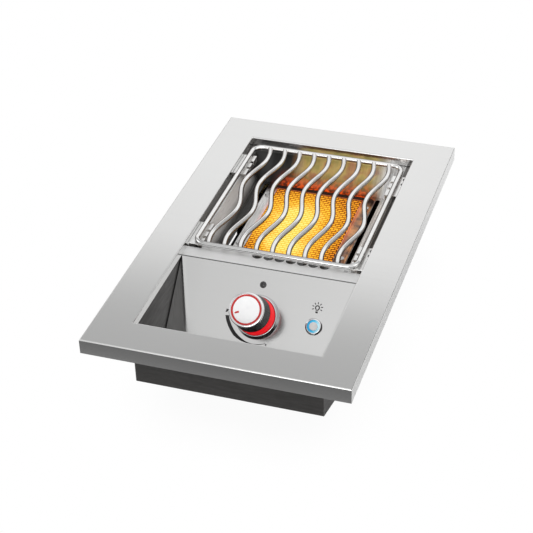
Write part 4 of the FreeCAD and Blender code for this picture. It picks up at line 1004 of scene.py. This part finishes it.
def panel_slope():
    """A merged copy of the control panel's solid, cut off and closed where the shelf begins."""
    built = bmesh.new()
    built.from_mesh(NODES["control_panel"].data)
    bmesh.ops.remove_doubles(built, verts=built.verts, dist=1e-6)
    cut = bmesh.ops.bisect_plane(built, geom=built.verts[:] + built.edges[:] + built.faces[:],
                                 dist=1e-7, plane_co=(0, SHELF_FRONT * MM, 0), plane_no=(0, 1, 0),
                                 clear_outer=True)
    rim = [part for part in cut["geom_cut"] if isinstance(part, bmesh.types.BMEdge)]
    bmesh.ops.edgeloop_fill(built, edges=rim)
    mesh = bpy.data.meshes.new("panel_slope")
    built.to_mesh(mesh)
    built.free()
    if "custom_normal" in mesh.attributes:
        mesh.attributes.remove(mesh.attributes["custom_normal"])
    mesh.polygons.foreach_set("use_smooth", [False] * len(mesh.polygons))
    mesh.materials.clear()
    mesh.materials.append(finish("panel"))
    return show("panel_slope", mesh)


def notched_sheet():
    """The panel's folded sheet, with round air notches in the rear edge of its shelf."""
    half, rear, top = (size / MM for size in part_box("control_panel")[1])
    inner, step_y = half - CORNER_WIDTH, rear - CORNER_DEPTH
    outline = [(-half, SHELF_FRONT), (half, SHELF_FRONT), (half, step_y), (inner, step_y), (inner, rear)]
    start = math.degrees(math.asin(NOTCH_INSET / NOTCH_RADIUS))
    for index in reversed(range(NOTCH_COUNT)):
        for step in range(NOTCH_STEPS + 1):
            turn = math.radians(start - (180.0 + 2 * start) * step / NOTCH_STEPS)
            outline.append((NOTCH_FIRST + NOTCH_PITCH * index + NOTCH_RADIUS * math.cos(turn),
                            rear - NOTCH_INSET + NOTCH_RADIUS * math.sin(turn)))
    outline += [(-inner, rear), (-inner, step_y), (-half, step_y)]
    shelf = slab("panel_shelf", outline, Matrix(), finish("panel"), top - SHELF_SHEET, top)
    return crease(join("panel_sheet", [panel_slope(), shelf]), 30.0)


class BURNER_OT_trim(bpy.types.Operator):
    """Finish the trim frame, the control panel and the casing"""
    bl_idname = "burner.trim"
    bl_label = "Trim, panel and casing"

    def execute(self, context):
        coat("trim", "trim_frame")
        dress(notched_sheet(), "chassis", "panel_steel", "control_panel")
        coat("casing", "casing", "casing_side_left", "casing_side_right")
        return {"FINISHED"}


class BURNER_OT_firebox(bpy.types.Operator):
    """Finish the firebox, the burner and its tiles"""
    bl_idname = "burner.firebox"
    bl_label = "Firebox and burner"

    def execute(self, context):
        coat("liner", "firebox_liner")
        coat("rest", "grid_rest_left_front", "grid_rest_left_rear", "grid_rest_right_front",
             "grid_rest_right_rear")
        coat("burner", "burner_box", "burner_rim")
        coat("tile", "tile_front", "tile_rear")
        coat("fibre", "tile_gasket")
        coat("white ceramic", "electrode_ceramic")
        coat("heated wire", "electrode_wire", "electrode_clip")
        return {"FINISHED"}


class BURNER_OT_hidden(bpy.types.Operator):
    """Finish the gas train, the modules and the fasteners"""
    bl_idname = "burner.hidden"
    bl_label = "Gas train and fittings"

    def execute(self, context):
        coat("plain steel", "heat_shield", "venturi_tube", "air_shutter", "manifold_pipe", "valve_stem")
        coat("brass", "orifice", "gas_inlet", "push_collar")
        coat("cast", "valve_body")
        coat("black plastic", "ignition_module", "lamp_module", "knob_core")
        coat("rubber", "cable_grommet")
        coat("plated", "liner_screws", "burner_screws", "module_screws", "valve_screws", "button_nut")
        return {"FINISHED"}


class BURNER_OT_grid(bpy.types.Operator):
    """Build the smooth wave rods of the cooking grid"""
    bl_idname = "burner.grid"
    bl_label = "Cooking grid"

    def execute(self, context):
        sizes = context.scene.burner_grid
        low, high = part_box("cooking_grid")
        radius = (high.z - low.z) / 2
        rods = grow("grid_rods", wave_grid_tree(), {
            "Rods": sizes.rods, "Pitch": sizes.pitch, "Amplitude": sizes.amplitude,
            "Wavelength": sizes.wavelength, "Crest Y": 0.188, "Front Y": low.y + radius,
            "Rear Y": high.y - radius, "Half Width": high.x - radius, "Corner Radius": 0.015,
            "Rod Radius": radius, "Height": (high.z + low.z) / 2, "Material": finish("rod")})
        dress(rods, "grid", "grid_rod", "cooking_grid")
        return {"FINISHED"}


def grip_ribs(turn, height):
    """How far the grip's flutes go in, at an angle and a height; they fade out at both ends."""
    fade = min(1.0, max(0.0, (height - GRIP_FOOT) / RIB_FADE), max(0.0, (GRIP_HEAD - height) / RIB_FADE))
    return -RIB_DEPTH * fade * (0.5 + 0.5 * math.cos(turn * GRIP_RIBS)) ** 2


class BURNER_OT_knob(bpy.types.Operator):
    """Build the knob, its bezel and its lit ring"""
    bl_idname = "burner.knob"
    bl_label = "Knob and light ring"

    def execute(self, context):
        axis = panel_place(*KNOB_PLACE)
        bezel = join("knob_bezel_ring", [turned("knob_bezel_skirt", axis, "dark chrome", 128),
                                         turned("knob_bezel_lip", axis, "bezel", 128)])
        dress(bezel, "chassis", "bezel_chrome", "knob_bezel")
        ring = turned("knob_light_ring", axis, "red light", 128)
        dress(ring, "chassis", "light_red", "light_ring")
        grip = turned("knob_grip_sleeve", axis, "grip", 480, grip_ribs)
        dress(grip, "knob", "knob_plastic", "knob_grip")
        cap = join("knob_cap_assembly", [turned("knob_cap_disc", axis, "chrome", 128),
                                         turned("knob_accent_ring", axis, "red paint", 128),
                                         turned("knob_face_disc", axis, "face", 96)])
        dress(cap, "knob", "knob_bright", "knob_cap")
        pointer_axis = axis @ Matrix.Rotation(math.radians(POINTER_TURN), 4, "Z")
        pointer = slab("knob_pointer_bar", POINTER_OUTLINE, pointer_axis, finish("red paint"),
                       *POINTER_HEIGHTS)
        dress(soften(pointer, POINTER_ROUNDING), "knob", "pointer_dark", "knob_pointer")
        return {"FINISHED"}


class BURNER_OT_button(bpy.types.Operator):
    """Build the lamp button and the indicator"""
    bl_idname = "burner.button"
    bl_label = "Lamp button and indicator"

    def execute(self, context):
        axis = panel_place(*BUTTON_PLACE)
        dress(turned("button_barrel", axis, "chrome"), "chassis", "button_metal", "button_body")
        dress(turned("button_light_ring", axis, "blue light"), "chassis", "button_light", "button_lens")
        dress(turned("button_cap_disc", axis, "cap"), "light_button", "button_cap", "button_cap")
        spot = panel_place(*INDICATOR_PLACE)
        lamp = join("indicator_lamp", [turned("indicator_collar", spot, "black plastic", 48),
                                       turned("indicator_dome", spot, "black gloss", 48)])
        dress(lamp, "chassis", "indicator_lens", "indicator")
        return {"FINISHED"}


class BURNER_OT_studs(bpy.types.Operator):
    """Set the small dark studs on the right inner edge of the trim"""
    bl_idname = "burner.studs"
    bl_label = "Edge studs"

    def execute(self, context):
        places = [Matrix.Translation(Vector((STUD_X * MM, y * MM, STUD_Z * MM))) for y in STUD_ROWS]
        studs = [turned("stud", place, "black plastic", 20) for place in places]
        dress(join("trim_edge_studs", studs), "chassis", "screw_steel")
        return {"FINISHED"}


class BURNER_OT_marks(bpy.types.Operator):
    """Print the heat scale and the lamp symbol on the panel"""
    bl_idname = "burner.marks"
    bl_label = "Printed marks"

    def execute(self, context):
        ink = finish("ink")
        axis = panel_place(*KNOB_PLACE)
        dot_centre = arc_points([HEAT_DOT_PLACE])[0]
        dot = arc_points([(angle, HEAT_DOT_RADIUS) for angle in range(0, 360, 20)], dot_centre)
        marks = [slab("heat_scale", arc_points(HEAT_SCALE), axis, ink),
                 slab("heat_tick", arc_points(HEAT_TICK), axis, ink),
                 slab("heat_dot", dot, axis, ink)]
        symbol = panel_place(*SYMBOL_PLACE)
        bulb = arc_points([(BULB_HALF_TURN * (2 * step / BULB_STEPS - 1), BULB_RADIUS)
                           for step in range(BULB_STEPS + 1)], (0.0, BULB_HEIGHT))
        hollow = [(HOLLOW_SHARE * x, BULB_HEIGHT + HOLLOW_SHARE * (y - BULB_HEIGHT)) for x, y in bulb]
        marks.append(hoop("lamp_outline", bulb + BULB_FOOT, hollow + HOLLOW_FOOT, symbol, ink))
        marks.append(slab("lamp_foot", LAMP_FOOT, symbol, ink))
        marks.append(slab("lamp_neck", LAMP_NECK, symbol, ink))
        rays = grow("lamp_rays", ray_tree(), {
            "Rays": 7, "Inner Radius": 4.6 * MM, "Length": 2.8 * MM, "Width": 1.15 * MM,
            "Thickness": INK * MM, "Span": math.radians(228), "Start": math.radians(-24),
            "Material": ink})
        rays.data.transform(symbol @ Matrix.Translation(Vector((0, BULB_HEIGHT * MM, 0))))
        dress(join("panel_marks", marks + [rays]), "chassis", "indicator_lens")
        return {"FINISHED"}


class BURNER_PT_panel(bpy.types.Panel):
    """Lists the steps and settings of the side burner"""
    bl_label = "Side burner"
    bl_idname = "BURNER_PT_panel"
    bl_space_type = "VIEW_3D"
    bl_region_type = "UI"
    bl_category = "Side burner"

    def draw(self, context):
        layout = self.layout
        for step in STEPS:
            layout.operator(step.bl_idname)
        for label, _ in SETTINGS:
            group = getattr(context.scene, label)
            for name in group.bl_rna.properties.keys():
                if name not in ("rna_type", "name"):
                    layout.prop(group, name)


STEPS = (BURNER_OT_stage, BURNER_OT_trim, BURNER_OT_firebox, BURNER_OT_hidden, BURNER_OT_grid,
         BURNER_OT_knob, BURNER_OT_button, BURNER_OT_studs, BURNER_OT_marks)
SETTINGS = (("burner_finish", BurnerFinish), ("burner_grid", BurnerGrid), ("burner_stage", BurnerStage))


def register():
    """Registers the settings, the operators and the sidebar panel."""
    for label, group in SETTINGS:
        bpy.utils.register_class(group)
        setattr(bpy.types.Scene, label, bpy.props.PointerProperty(type=group))
    for step in STEPS:
        bpy.utils.register_class(step)
    bpy.utils.register_class(BURNER_PT_panel)


def unregister():
    """Removes what register added."""
    bpy.utils.unregister_class(BURNER_PT_panel)
    for step in reversed(STEPS):
        bpy.utils.unregister_class(step)
    for label, group in reversed(SETTINGS):
        delattr(bpy.types.Scene, label)
        bpy.utils.unregister_class(group)


def main():
    """Registers the add-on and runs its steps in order."""
    register()
    bpy.ops.burner.stage()
    bpy.ops.burner.trim()
    bpy.ops.burner.firebox()
    bpy.ops.burner.hidden()
    bpy.ops.burner.grid()
    bpy.ops.burner.knob()
    bpy.ops.burner.button()
    bpy.ops.burner.studs()
    bpy.ops.burner.marks()


if __name__ == "__main__":
    main()
